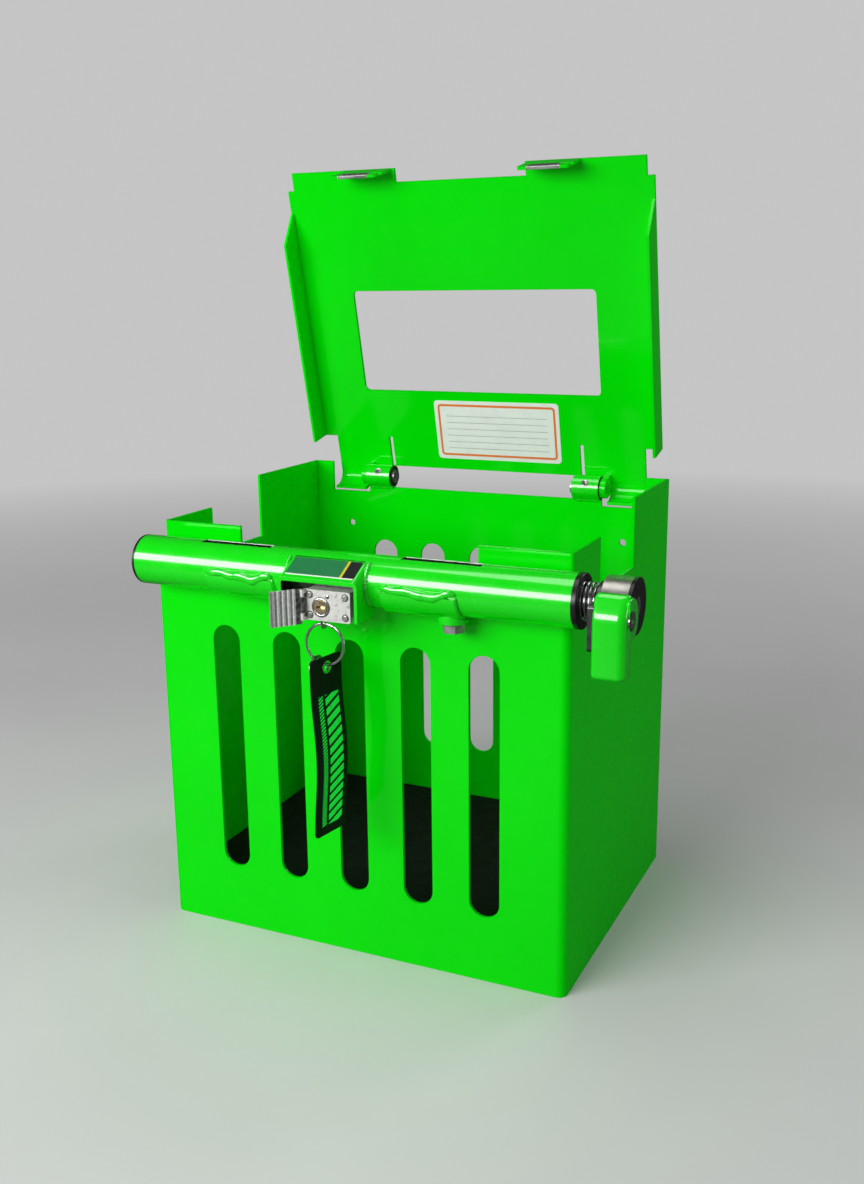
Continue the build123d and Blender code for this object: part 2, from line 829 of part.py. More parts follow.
def hinge_barrel(side):
    with BuildPart() as barrel:
        with BuildSketch(across_hinge(side * barrel_inner)):
            Circle(barrel_radius)
            Circle(pin_bore, mode=Mode.SUBTRACT)
        extrude(amount=side * barrel_length)
        with BuildSketch(screw_plane(side * barrel_middle, 0)):
            Circle(set_screw_radius + pin_fit)
        extrude(amount=2 * barrel_radius, mode=Mode.SUBTRACT)
    return barrel.part


export(hinge_barrel(-1), "hinge_barrel_left")
export(hinge_barrel(1), "hinge_barrel_right")

with BuildPart() as hinge_pins:
    for side in (-1, 1):
        with BuildSketch(across_hinge(side * (barrel_inner - pin_head))):
            Circle(pin_head_radius)
        extrude(amount=side * pin_head)
        with BuildSketch(across_hinge(side * barrel_inner)):
            Circle(pin_radius)
        extrude(amount=side * (eye_outer - barrel_inner + eye_gap))
export(hinge_pins.part, "hinge_pins")

with BuildPart() as hinge_set_screws:
    for x in (-barrel_middle, barrel_middle):
        with BuildSketch(screw_plane(x, pin_bore)):
            Circle(set_screw_radius)
        extrude(amount=set_screw_length)
        with BuildSketch(screw_plane(x, pin_bore + set_screw_length)):
            RegularPolygon(set_screw_radius / 2, 6)
        extrude(amount=-set_screw_socket, mode=Mode.SUBTRACT)
export(hinge_set_screws.part, "hinge_set_screws")

# Shroud over the lock: bent sheet, its top running tangent onto the tube
front_run = tube_y - shroud_front_y
front_rise = shroud_front_top - tube_height
front_reach = sqrt(front_run**2 + front_rise**2)
tangent_angle = atan2(front_rise, -front_run) - acos(tube_radius / front_reach)
tangent_y = tube_radius * cos(tangent_angle)
tangent_z = tube_radius * sin(tangent_angle)
slope_run = tangent_y + front_run
slope_rise = tangent_z - front_rise
slope_length = sqrt(slope_run**2 + slope_rise**2)
shroud_leg = 2 * (shroud_front_top - shroud_bottom)
top_plane = Plane(
    origin=(0, shroud_front_y - slope_run, shroud_front_top - slope_rise),
    x_dir=(1, 0, 0),
    z_dir=(0, -slope_run, -slope_rise),
)
with BuildPart() as lock_shroud:
    with BuildSketch(top_plane):
        with Locations((0, -shroud_leg / 2)):
            Rectangle(2 * shroud_half_width, shroud_leg)
        fillet(vertices().group_by(Axis.Y)[-1], shroud_bend)
        with BuildSketch(mode=Mode.PRIVATE) as tunnel:
            with Locations((0, -shroud_leg / 2 - sheet)):
                Rectangle(2 * (shroud_half_width - sheet), shroud_leg)
            fillet(tunnel.vertices().group_by(Axis.Y)[-1], shroud_bend - sheet)
        add(tunnel.sketch, mode=Mode.SUBTRACT)
    extrude(amount=-3 * slope_length)
    with BuildSketch(across_tube(-shroud_half_width)):
        with BuildLine():
            Polyline(
                (-front_run, shroud_bottom - tube_height),
                (-front_run, front_rise),
                (tangent_y, tangent_z),
                (0, 0),
                (shroud_back - front_run, shroud_bottom - tube_height),
                close=True,
            )
        make_face()
        Circle(tube_radius + weld_gap, mode=Mode.SUBTRACT)
    extrude(amount=2 * shroud_half_width, mode=Mode.INTERSECT)
export(lock_shroud.part, "lock_shroud")

# Lock case seated on the tube, with bores for the plug and the bolt and the lugs of the cover
lug_bottoms = (lock_bottom, lock_bottom + lock_height - cover_lug_height)
with BuildPart() as lock_body:
    with BuildSketch(facing_front(lock_front_y)):
        with Locations((lock_centre_x, lock_middle_z)):
            RectangleRounded(lock_width, lock_height, lock_corner)
    extrude(amount=-lock_depth)
    with BuildSketch(across_tube(-half_width)):
        Circle(tube_radius + weld_gap)
    extrude(amount=cage_width, mode=Mode.SUBTRACT)
    with BuildSketch(facing_front(lock_front_y)):
        with Locations((lock_plug_x, lock_plug_height)):
            Circle(plug_radius + plug_fit)
    extrude(amount=-plug_length, mode=Mode.SUBTRACT)
    with BuildSketch(facing_front(lock_front_y + lock_front_setback)):
        with Locations((lock_bolt_x, lock_bolt_height)):
            Circle(lock_bolt_radius + lock_bolt_fit)
    extrude(amount=-lock_depth, mode=Mode.SUBTRACT)
    for z in lug_bottoms:
        with BuildSketch(Plane.XY.offset(z)):
            with Locations((cover_pin_x, cover_pin_y)):
                Circle(cover_knuckle_radius)
                Rectangle(cover_knuckle_radius, 2 * cover_pin_forward, align=(Align.MIN, Align.MIN))
                Circle(cover_pin_radius + plug_fit, mode=Mode.SUBTRACT)
        extrude(amount=cover_lug_height)
export(lock_body.part, "lock_body")

rivet_x = (lock_left + rivet_inset, lock_left + lock_width - rivet_inset)
rivet_z = (lock_bottom + rivet_inset, lock_bottom + lock_height - rivet_inset)
with BuildPart() as lock_rivets:
    with BuildSketch(facing_front(lock_front_y)):
        with Locations(*[(x, z) for x in rivet_x for z in rivet_z]):
            Circle(rivet_radius)
    extrude(amount=rivet_height)
    fillet(faces().group_by(Axis.Y)[0].edges(), rivet_height / 2)
export(lock_rivets.part, "lock_rivets")

with BuildPart() as key_plug:
    with BuildSketch(facing_front(lock_front_y)):
        with Locations((lock_plug_x, lock_plug_height)):
            Circle(plug_radius)
    extrude(amount=plug_proud)
    extrude(faces().sort_by(Axis.Y)[-1], amount=plug_length - 2 * plug_proud)
    with BuildSketch(facing_front(lock_front_y - plug_proud)):
        with Locations((lock_plug_x, lock_plug_height)):
            Rectangle(keyway_height, keyway_width)
    extrude(amount=-plug_length / 2, mode=Mode.SUBTRACT)
export(key_plug.part, "key_plug")

lock_bolt_tip_y = tube_y - bar_radius - lock_bolt_gap
with BuildPart() as lock_bolt:
    with BuildSketch(facing_front(lock_bolt_tip_y)):
        with Locations((lock_bolt_x, lock_bolt_height)):
            Circle(lock_bolt_radius)
    extrude(amount=lock_bolt_length)
    fillet(edges().sort_by(Axis.Y)[-1], lock_bolt_radius / 4)
export(lock_bolt.part, "lock_bolt")

# Ribbed dust cover, swung open to the left on its pin
cover_bottom = lock_bottom - cover_drop
cover_turn = radians(-cover_open_angle)


def cover_plane(z):
    return Plane(origin=(cover_pin_x, cover_pin_y, z), x_dir=(cos(cover_turn), sin(cover_turn), 0))


with BuildPart() as dust_cover:
    with BuildSketch(cover_plane(cover_bottom)):
        sheet_y = -cover_knuckle_radius - cover_lug_gap - cover_thickness / 2
        with Locations((cover_width / 2, sheet_y)):
            Rectangle(cover_width, cover_thickness)
        rib_places = [cover_rib_first + k * cover_rib_pitch for k in range(cover_rib_count)]
        with Locations(*[(x, sheet_y) for x in rib_places]):
            Circle(cover_rib_radius)
        with Locations((cover_width - cover_thickness / 2, sheet_y)):
            Rectangle(cover_thickness, 2 * cover_lip)
    extrude(amount=cover_height)
    knuckle_bottom = lug_bottoms[0] + cover_lug_height + cover_lug_gap
    with BuildSketch(cover_plane(knuckle_bottom)):
        Circle(cover_knuckle_radius)
        with Locations((0, sheet_y / 2)):
            Rectangle(2 * cover_thickness, -sheet_y)
        Circle(cover_pin_radius + plug_fit, mode=Mode.SUBTRACT)
    extrude(amount=lug_bottoms[1] - cover_lug_gap - knuckle_bottom)
export(dust_cover.part, "dust_cover")

with BuildPart() as cover_hinge_pin:
    with BuildSketch(cover_plane(lock_bottom)):
        Circle(cover_pin_radius)
    extrude(amount=lock_height)
export(cover_hinge_pin.part, "cover_hinge_pin")

# Wire staple under the lock, the ring on it and one key
staple_bar_z = lock_bottom - staple_drop
staple_ends = (staple_y - staple_span / 2, staple_y + staple_span / 2)
with BuildPart() as ring_staple:
    with BuildLine() as staple_path:
        FilletPolyline(
            (staple_x, staple_ends[0], lock_bottom),
            (staple_x, staple_ends[0], staple_bar_z),
            (staple_x, staple_ends[1], staple_bar_z),
            (staple_x, staple_ends[1], lock_bottom),
            radius=staple_bend,
        )
    with BuildSketch(Plane(origin=staple_path.line @ 0, z_dir=staple_path.line % 0)):
        Circle(staple_wire / 2)
    sweep()
export(ring_staple.part, "ring_staple")

with BuildPart() as key_ring:
    with BuildSketch(Plane(origin=(staple_x, staple_y, ring_z), x_dir=(1, 0, 0), z_dir=(0, 0, 1))):
        with Locations((ring_radius, 0)):
            Circle(ring_wire / 2)
    revolve(axis=Axis((staple_x, staple_y, ring_z), (0, 1, 0)))
export(key_ring.part, "key_ring")

key_side = radians(key_ring_angle)
key_x = staple_x - ring_radius * sin(key_side)
key_hole_lift = ring_wire / 2 + link_gap - key_hole / 2 + key_thickness / 2
key_hole_z = ring_z - ring_radius * cos(key_side) + key_hole_lift
with BuildPart() as ring_key:
    with BuildSketch(Plane(origin=(key_x, staple_y, key_hole_z), x_dir=(0, 1, 0), z_dir=(1, 0, 0))):
        bow_z = -key_hole_rise
        with Locations((0, bow_z)):
            Circle(key_bow_radius)
        with Locations((0, bow_z - key_bow_radius + key_thickness)):
            Rectangle(key_blade_width, key_blade_length, align=(Align.CENTER, Align.MAX))
        bit_pitch = key_blade_length / (2 * key_bit_count)
        bit_start = bow_z - key_bow_radius - key_blade_length + key_thickness
        bit_places = [bit_start + (2 * k + 1) * bit_pitch for k in range(key_bit_count)]
        with Locations(*[(key_blade_width / 2, z) for z in bit_places]):
            RegularPolygon(bit_pitch / 2, 4, mode=Mode.SUBTRACT)
        Circle(key_hole / 2, mode=Mode.SUBTRACT)
    extrude(amount=key_thickness / 2, both=True)
export(ring_key.part, "ring_key")

# Flat fob with an eyelet, hanging from the ring
fob_yaw = radians(fob_turn)
fob_plane = Plane(
    origin=(staple_x, staple_y, fob_hole_z),
    x_dir=(cos(fob_yaw), sin(fob_yaw), 0),
    z_dir=(sin(fob_yaw), -cos(fob_yaw), 0),
)
with BuildPart() as key_fob:
    with BuildSketch(fob_plane):
        with Locations((0, fob_top - fob_length / 2)):
            RectangleRounded(fob_width, fob_length, fob_corner)
        Circle(eyelet_barrel + plug_fit, mode=Mode.SUBTRACT)
    extrude(amount=fob_thickness / 2, both=True)
export(key_fob.part, "key_fob")

with BuildPart() as fob_eyelet:
    with BuildSketch(fob_plane):
        Circle(eyelet_barrel)
    extrude(amount=fob_thickness / 2, both=True)
    for facing in (-1, 1):
        with BuildSketch(fob_plane.offset(facing * fob_thickness / 2)):
            Circle(eyelet_radius)
        extrude(amount=facing * eyelet_flange)
    with BuildSketch(fob_plane):
        Circle(eyelet_hole)
    extrude(amount=fob_thickness, both=True, mode=Mode.SUBTRACT)
export(fob_eyelet.part, "fob_eyelet")
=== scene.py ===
import json
import random
from math import atan2, cos, pi, radians, sin

import bpy
from mathutils import Matrix, Vector


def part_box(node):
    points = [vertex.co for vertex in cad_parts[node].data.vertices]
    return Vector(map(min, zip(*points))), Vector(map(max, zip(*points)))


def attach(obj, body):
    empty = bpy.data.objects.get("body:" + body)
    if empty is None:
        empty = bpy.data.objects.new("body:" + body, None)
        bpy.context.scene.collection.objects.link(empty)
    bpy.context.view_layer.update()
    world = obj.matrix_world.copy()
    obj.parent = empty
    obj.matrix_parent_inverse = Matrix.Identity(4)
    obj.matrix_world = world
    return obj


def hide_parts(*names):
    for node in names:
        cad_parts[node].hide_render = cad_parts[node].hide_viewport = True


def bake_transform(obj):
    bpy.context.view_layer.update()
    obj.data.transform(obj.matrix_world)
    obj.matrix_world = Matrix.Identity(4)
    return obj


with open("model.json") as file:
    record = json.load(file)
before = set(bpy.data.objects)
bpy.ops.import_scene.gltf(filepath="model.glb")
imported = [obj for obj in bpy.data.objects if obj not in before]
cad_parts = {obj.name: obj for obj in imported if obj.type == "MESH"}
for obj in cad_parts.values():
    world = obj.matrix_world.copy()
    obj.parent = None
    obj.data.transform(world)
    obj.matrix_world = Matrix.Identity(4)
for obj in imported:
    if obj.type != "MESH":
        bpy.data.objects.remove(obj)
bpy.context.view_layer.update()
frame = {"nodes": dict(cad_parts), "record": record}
nodes = frame["nodes"]

MM = 0.001
RIGHT = Vector((1, 0, 0))
BACK = Vector((0, 1, 0))
UP = Vector((0, 0, 1))


def line_through(low, high):
    """Where the line along X through the middle of a box meets x = 0."""
    return Vector((0, (low.y + high.y) / 2, (low.z + high.z) / 2))


# Places read from the frame, in metres
tube_low, tube_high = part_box("lock_tube")
tube_radius = (tube_high.z - tube_low.z) / 2
tube_axis = line_through(tube_low, tube_high)
shroud_low, shroud_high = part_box("lock_shroud")
barrel_low, barrel_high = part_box("hinge_barrel_right")
barrel_radius = (barrel_high.z - barrel_low.z) / 2
hinge_axis = line_through(barrel_low, barrel_high)
label_low, label_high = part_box("lid_label")
lock_low, lock_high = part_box("lock_rivets")
plug_low, plug_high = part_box("key_plug")
plug_middle = (plug_low + plug_high) / 2
fob_low, fob_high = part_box("key_fob")
eyelet_low, eyelet_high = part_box("fob_eyelet")

# Directions of the open lid, the dust cover and the hanging fob
lid_lean = radians(13)
lid_along = Vector((0, -sin(lid_lean), cos(lid_lean)))
lid_inward = Vector((0, -cos(lid_lean), -sin(lid_lean)))
cover_turn = radians(-130)
cover_outward = Vector((cos(cover_turn), sin(cover_turn), 0))
fob_yaw = radians(80)
fob_across = Vector((cos(fob_yaw), sin(fob_yaw), 0))
fob_normal = Vector((sin(fob_yaw), -cos(fob_yaw), 0))
fob_hole = (eyelet_low + eyelet_high) / 2

# Sizes of the shroud's roof, the plate on its slope and the ribs of the dust cover
shroud_sheet = 3 * MM
roof_front_z = 361.5 * MM
roof_top_y, roof_top_z = -177.2 * MM, 374.9 * MM
plate_half_width, plate_half_height, plate_round = 32 * MM, 10.8 * MM, 1.2 * MM
plate_lip, plate_stripe = 1.1 * MM, 2.2 * MM
plate_dark_from = 0.62 * plate_half_width
rib_first, rib_pitch = 7 * MM, 4.5 * MM

# Colours of paint, print, dirt, painted shade and painted glow, linear
GREEN = (0.0, 0.82, 0.001, 1)
GREEN_DEEP = (0.0, 0.76, 0.001, 1)
GREEN_THIN = (0.01, 0.88, 0.012, 1)
SHADE_BLACK = (0.004, 0.01, 0.004, 1)
STEEL = (0.56, 0.57, 0.55, 1)
CASTING_BRIGHT = (0.8, 0.81, 0.76, 1)
CASTING_GRIME_AND_SHADE = (0.06, 0.06, 0.05, 1)
COVER_BRIGHT = (0.88, 0.89, 0.88, 1)
COVER_SHADE = (0.02, 0.022, 0.02, 1)
LABEL_WHITE = (0.9, 0.92, 0.9, 1)
LABEL_ORANGE = (0.9, 0.2, 0.03, 1)
LABEL_GREY = (0.42, 0.44, 0.44, 1)
PLATE_GREEN = (0.02, 0.22, 0.07, 1)
PLATE_DARK = (0.015, 0.02, 0.018, 1)
PLATE_YELLOW = (0.75, 0.62, 0.03, 1)
STRAP_BLACK = (0.006, 0.011, 0.007, 1)
STRAP_GREEN = (0.02, 0.95, 0.06, 1)
STRAP_PAINTED_GLOW = (0.003, 0.2, 0.02, 1)
NO_GLOW = (0, 0, 0, 1)


class Nodes:
    """Short ways to add nodes to a node tree."""

    def __init__(self, tree):
        self.tree = tree
        self.point = self.node("ShaderNodeTexCoord").outputs["Object"]

    def node(self, kind, **settings):
        made = self.tree.nodes.new(kind)
        for key, value in settings.items():
            setattr(made, key, value)
        return made

    def feed(self, socket, value):
        """Links another socket to this one, or sets its value."""
        if isinstance(value, bpy.types.NodeSocket):
            self.tree.links.new(value, socket)
        else:
            socket.default_value = value

    def math(self, operation, *values):
        made = self.node("ShaderNodeMath", operation=operation)
        for socket, value in zip(made.inputs, values):
            self.feed(socket, value)
        return made.outputs[0]

    def vector(self, operation, *values):
        made = self.node("ShaderNodeVectorMath", operation=operation)
        for socket, value in zip(made.inputs, values):
            self.feed(socket, value)
        return made.outputs["Value" if operation in ("DOT_PRODUCT", "LENGTH") else "Vector"]

    def along(self, direction, origin):
        """Distance of the shaded point from origin, measured along direction."""
        offset = self.vector("SUBTRACT", self.point, tuple(origin))
        return self.vector("DOT_PRODUCT", offset, tuple(direction))

    def noise(self, scale, detail=3.0, stretch=(1, 1, 1)):
        made = self.node("ShaderNodeTexNoise")
        self.feed(made.inputs["Vector"], self.vector("MULTIPLY", self.point, stretch))
        self.feed(made.inputs["Scale"], scale)
        self.feed(made.inputs["Detail"], detail)
        return made.outputs[0]

    def spread(self, value, low, high, start=0.3, end=0.7):
        """value from start to end becomes low to high, and stays there outside them."""
        made = self.node("ShaderNodeMapRange")
        limits = {"From Min": start, "From Max": end, "To Min": low, "To Max": high}
        for key, number in limits.items():
            self.feed(made.inputs[key], number)
        self.feed(made.inputs["Value"], value)
        return made.outputs[0]

    def mix(self, factor, first, second):
        made = self.node("ShaderNodeMix", data_type="RGBA")
        sockets = {socket.identifier: socket for socket in made.inputs}
        self.feed(sockets["Factor_Float"], factor)
        self.feed(sockets["A_Color"], first)
        self.feed(sockets["B_Color"], second)
        return next(socket for socket in made.outputs if socket.identifier == "Result_Color")

    def bump(self, height, strength, distance, normal=None):
        made = self.node("ShaderNodeBump")
        self.feed(made.inputs["Height"], height)
        self.feed(made.inputs["Strength"], strength)
        self.feed(made.inputs["Distance"], distance)
        if normal is not None:
            self.feed(made.inputs["Normal"], normal)
        return made.outputs[0]

    def soft_edges(self, radius):
        made = self.node("ShaderNodeBevel", samples=4)
        self.feed(made.inputs["Radius"], radius)
        return made.outputs[0]

    def inside_box(self, centre, half, ragged):
        """1 inside a box, 0 outside it, with a ragged border."""
        offset = self.vector("ABSOLUTE", self.vector("SUBTRACT", self.point, tuple(centre)))
        beyond = self.node("ShaderNodeSeparateXYZ")
        self.feed(beyond.inputs[0], self.vector("SUBTRACT", offset, tuple(half)))
        farthest = self.math("MAXIMUM", beyond.outputs[0], beyond.outputs[1])
        farthest = self.math("MAXIMUM", farthest, beyond.outputs[2])
        uneven = self.math("SUBTRACT", self.noise(260, 5), 0.5)
        border = self.math("ADD", farthest, self.math("MULTIPLY", uneven, 4 * ragged))
        return self.spread(border, 1, 0, 0, ragged / 3)

    def rounded_box(self, across, up, half_across, half_up, radius):
        """Distance outside a rounded rectangle, negative inside it."""
        side = self.math("SUBTRACT", self.math("ABSOLUTE", across), half_across - radius)
        top = self.math("SUBTRACT", self.math("ABSOLUTE", up), half_up - radius)
        side_square = self.math("POWER", self.math("MAXIMUM", side, 0.0), 2.0)
        top_square = self.math("POWER", self.math("MAXIMUM", top, 0.0), 2.0)
        outer = self.math("SQRT", self.math("ADD", side_square, top_square))
        inner = self.math("MINIMUM", self.math("MAXIMUM", side, top), 0.0)
        return self.math("SUBTRACT", self.math("ADD", outer, inner), radius)

    def line(self, distance, width):
        """1 where distance is within half a width of 0."""
        return self.spread(self.math("ABSOLUTE", distance), 1, 0, width * 0.4, width * 0.6)

    def band(self, value, centre, half):
        """1 where value is within half of centre."""
        offset = self.math("ABSOLUTE", self.math("SUBTRACT", value, centre))
        return self.math("LESS_THAN", offset, half)

    def stripes(self, value, pitch, share):
        """1 over a share of each pitch."""
        phase = self.math("FRACT", self.math("DIVIDE", value, pitch))
        return self.math("LESS_THAN", phase, share)

    def ray_grey(self, seen, mirrored, other):
        """A grey with one value for the camera, one for shiny surfaces and one for the rest."""
        path = self.node("ShaderNodeLightPath")
        grey = self.math("MULTIPLY_ADD", path.outputs["Is Camera Ray"], seen - other, other)
        return self.math("MULTIPLY_ADD", path.outputs["Is Glossy Ray"], mirrored - other, grey)


class Shader(Nodes):
    """The nodes of a material with one Principled shader."""

    def __init__(self, name):
        self.material = bpy.data.materials.new(name)
        self.material.use_nodes = True
        super().__init__(self.material.node_tree)
        self.principled = self.tree.nodes["Principled BSDF"]

    def set(self, **values):
        """Inputs of the Principled shader, by name with _ for a space."""
        for key, value in values.items():
            self.feed(self.principled.inputs[key.replace("_", " ")], value)


def green_coat(name, worn=(), ragged=1.2 * MM, painted_shade=(), rim=0.9 * MM, gloss=0.3, shine=0.04):
    """Green powder coat, bare steel in the worn boxes and black painted shade in the shade boxes.

    gloss is the share of its clear layer, and shine the mirroring under that.
    """
    coat = Shader(name)
    clouds = coat.spread(coat.noise(7, 4), 0, 1)
    specks = coat.spread(coat.noise(900, 2), 0, 0.35, 0.66, 0.74)
    colour = coat.mix(specks, coat.mix(clouds, GREEN, GREEN_DEEP), GREEN_THIN)
    roughness = coat.spread(coat.noise(45, 5), 0.2, 0.33)
    waves = coat.bump(coat.noise(24, 1), 0.35, 0.25 * MM, coat.soft_edges(rim))
    relief = coat.bump(coat.noise(750, 2), 0.1, 0.04 * MM, waves)
    # Black painted shade in recesses where light does not reach
    for centre, half in painted_shade:
        colour = coat.mix(coat.inside_box(centre, half, 0.2 * MM), colour, SHADE_BLACK)
    if worn:
        bare = 0.0
        for centre, half in worn:
            bare = coat.math("MAXIMUM", bare, coat.inside_box(centre, half, ragged))
        colour = coat.mix(bare, colour, STEEL)
        steel_roughness = coat.spread(coat.noise(300, 4, (0.08, 1, 1)), 0.22, 0.45)
        gap = coat.math("SUBTRACT", steel_roughness, roughness)
        roughness = coat.math("MULTIPLY_ADD", gap, bare, roughness)
        relief = coat.bump(bare, 0.4, -0.08 * MM, relief)
        coat.set(Metallic=bare)
    coat.set(Base_Color=colour, Roughness=roughness, Normal=relief)
    coat.set(Specular_IOR_Level=shine, Coat_Weight=gloss, Coat_Roughness=0.07, Coat_IOR=1.75)
    return coat.material


def metal(name, fresh, dull, roughness, grain=(1, 1, 1), scratch=0.1):
    """Metal in two tones, with fine scratches along the short side of grain."""
    made = Shader(name)
    stain = made.spread(made.noise(70, 5), 0, 1)
    lines = made.noise(1100, 3, grain)
    made.set(
        Base_Color=made.mix(stain, (*fresh, 1), (*dull, 1)),
        Metallic=1.0,
        Roughness=made.spread(made.noise(160, 4), *roughness),
        Normal=made.bump(lines, scratch, 0.05 * MM, made.soft_edges(0.25 * MM)),
    )
    return made.material


def plastic(name, fresh, dull, roughness, grain_scale, grain_depth, shine=0.5):
    """Rubber or plastic in two tones, with a fine grain."""
    made = Shader(name)
    stain = made.spread(made.noise(55, 5), 0, 1)
    grain = made.noise(grain_scale, 3)
    made.set(
        Specular_IOR_Level=shine,
        Base_Color=made.mix(stain, (*fresh, 1), (*dull, 1)),
        Roughness=made.spread(made.noise(120, 4), *roughness),
        Normal=made.bump(grain, 0.35, grain_depth, made.soft_edges(0.5 * MM)),
    )
    return made.material


def label_film():
    """White write-on film with a plain orange frame and ruled lines, no words."""
    frame_inset, frame_round, frame_width = 5 * MM, 3 * MM, 2.4 * MM
    side_margin, top_margin, margin_round = 13 * MM, 11 * MM, 1 * MM
    rule_pitch, rule_share = 7 * MM, 0.09
    film = Shader("label_film")
    centre = (label_low + label_high) / 2
    across = film.along(RIGHT, centre)
    up = film.along(lid_along, centre)
    half_width = (label_high.x - label_low.x) / 2
    half_height = (label_high.z - label_low.z) / cos(lid_lean) / 2
    border = film.rounded_box(
        across, up, half_width - frame_inset, half_height - frame_inset, frame_round)
    inner = film.rounded_box(
        across, up, half_width - side_margin, half_height - top_margin, margin_round)
    # The added metre keeps the height positive, so that its stripes run on evenly
    rules = film.stripes(film.math("ADD", up, 1.0), rule_pitch, rule_share)
    rules = film.math("MULTIPLY", rules, film.math("LESS_THAN", inner, 0.0))
    colour = film.mix(rules, LABEL_WHITE, LABEL_GREY)
    colour = film.mix(film.line(border, frame_width), colour, LABEL_ORANGE)
    dust = film.spread(film.noise(90, 5), 0, 0.12, 0.45, 0.75)
    film.set(
        Base_Color=film.mix(dust, colour, LABEL_GREY),
        Roughness=film.spread(film.noise(60, 4), 0.28, 0.42),
        Normal=film.bump(film.noise(420, 3), 0.2, 0.04 * MM, film.soft_edges(0.2 * MM)),
    )
    return film.material


def lock_face():
    """Zinc casting with grime smudges, and rings of painted shade round the rivets and the plug."""
    rivet_radius, rivet_ring = 2.4 * MM, 2.75 * MM
    plug_ring, ring_width, ring_strength = 8.1 * MM, 1 * MM, 0.85
    face = Shader("lock_casting")
    rings = [
        ((x, z), rivet_ring)
        for x in (lock_low.x + rivet_radius, lock_high.x - rivet_radius)
        for z in (lock_low.z + rivet_radius, lock_high.z - rivet_radius)
    ]
    rings.append(((plug_middle.x, plug_middle.z), plug_ring))
    grime_and_shade = face.spread(face.noise(260, 6), 0, 0.5, 0.54, 0.7)
    # Rings of painted shade round the rivets and the plug, over the grime
    for (x, z), radius in rings:
        offset = face.vector("SUBTRACT", face.point, (x, 0, z))
        reach = face.vector("LENGTH", face.vector("MULTIPLY", offset, (1, 0, 1)))
        ring = face.line(face.math("SUBTRACT", reach, radius), ring_width)
        grime_and_shade = face.math("MAXIMUM", grime_and_shade, face.math("MULTIPLY", ring, ring_strength))
    face.set(
        Base_Color=face.mix(grime_and_shade, CASTING_BRIGHT, CASTING_GRIME_AND_SHADE),
        Metallic=0.45,
        Roughness=face.spread(face.noise(160, 4), 0.34, 0.5),
        Normal=face.bump(face.noise(420, 4), 0.25, 0.1 * MM, face.soft_edges(0.3 * MM)),
    )
    return face.material


def ribbed_cover():
    """Plated sheet, bright on its ribs, with painted shade between them and near its pin."""
    valley_share, valley_shade = 0.42, 0.75
    cover = Shader("ribbed_cover")
    low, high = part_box("cover_hinge_pin")
    out = cover.along(cover_outward, (low + high) / 2)
    # Painted shade in the valleys between the ribs and next to the pin
    from_rib = cover.math("SUBTRACT", out, rib_first - 0.8 * rib_pitch)
    valleys = cover.stripes(from_rib, rib_pitch, valley_share)
    near_pin = cover.math("LESS_THAN", out, rib_first - 2 * MM)
    cover_shade = cover.math("MAXIMUM", cover.math("MULTIPLY", valleys, valley_shade), near_pin)
    cover_shade = cover.math("MULTIPLY", cover_shade, cover.spread(cover.noise(300, 4), 0.8, 1))
    brushed = cover.noise(500, 3, (1, 1, 0.1))
    cover.set(
        Base_Color=cover.mix(cover_shade, COVER_BRIGHT, COVER_SHADE),
        Metallic=0.2,
        Roughness=cover.spread(cover.noise(160, 4), 0.2, 0.32),
        Normal=cover.bump(brushed, 0.1, 0.05 * MM, cover.soft_edges(0.25 * MM)),
    )
    return cover.material


def plate_paint(centre, up_direction):
    """Green plate with a dark end, a straight yellow stripe beside it and a white front edge."""
    paint = Shader("plate_paint")
    across = paint.along(RIGHT, centre)
    dark_end = paint.math("GREATER_THAN", across, plate_dark_from)
    stripe = paint.line(paint.math("SUBTRACT", across, plate_dark_from), plate_stripe)
    forward = paint.along(up_direction, centre)
    front_edge = paint.math("LESS_THAN", forward, plate_lip - plate_half_height)
    colour = paint.mix(dark_end, PLATE_GREEN, PLATE_DARK)
    colour = paint.mix(stripe, colour, PLATE_YELLOW)
    paint.set(
        Base_Color=paint.mix(front_edge, colour, LABEL_WHITE),
        Roughness=paint.spread(paint.noise(90, 4), 0.22, 0.36),
        Normal=paint.bump(paint.noise(600, 2), 0.2, 0.04 * MM, paint.soft_edges(0.15 * MM)),
    )
    return paint.material


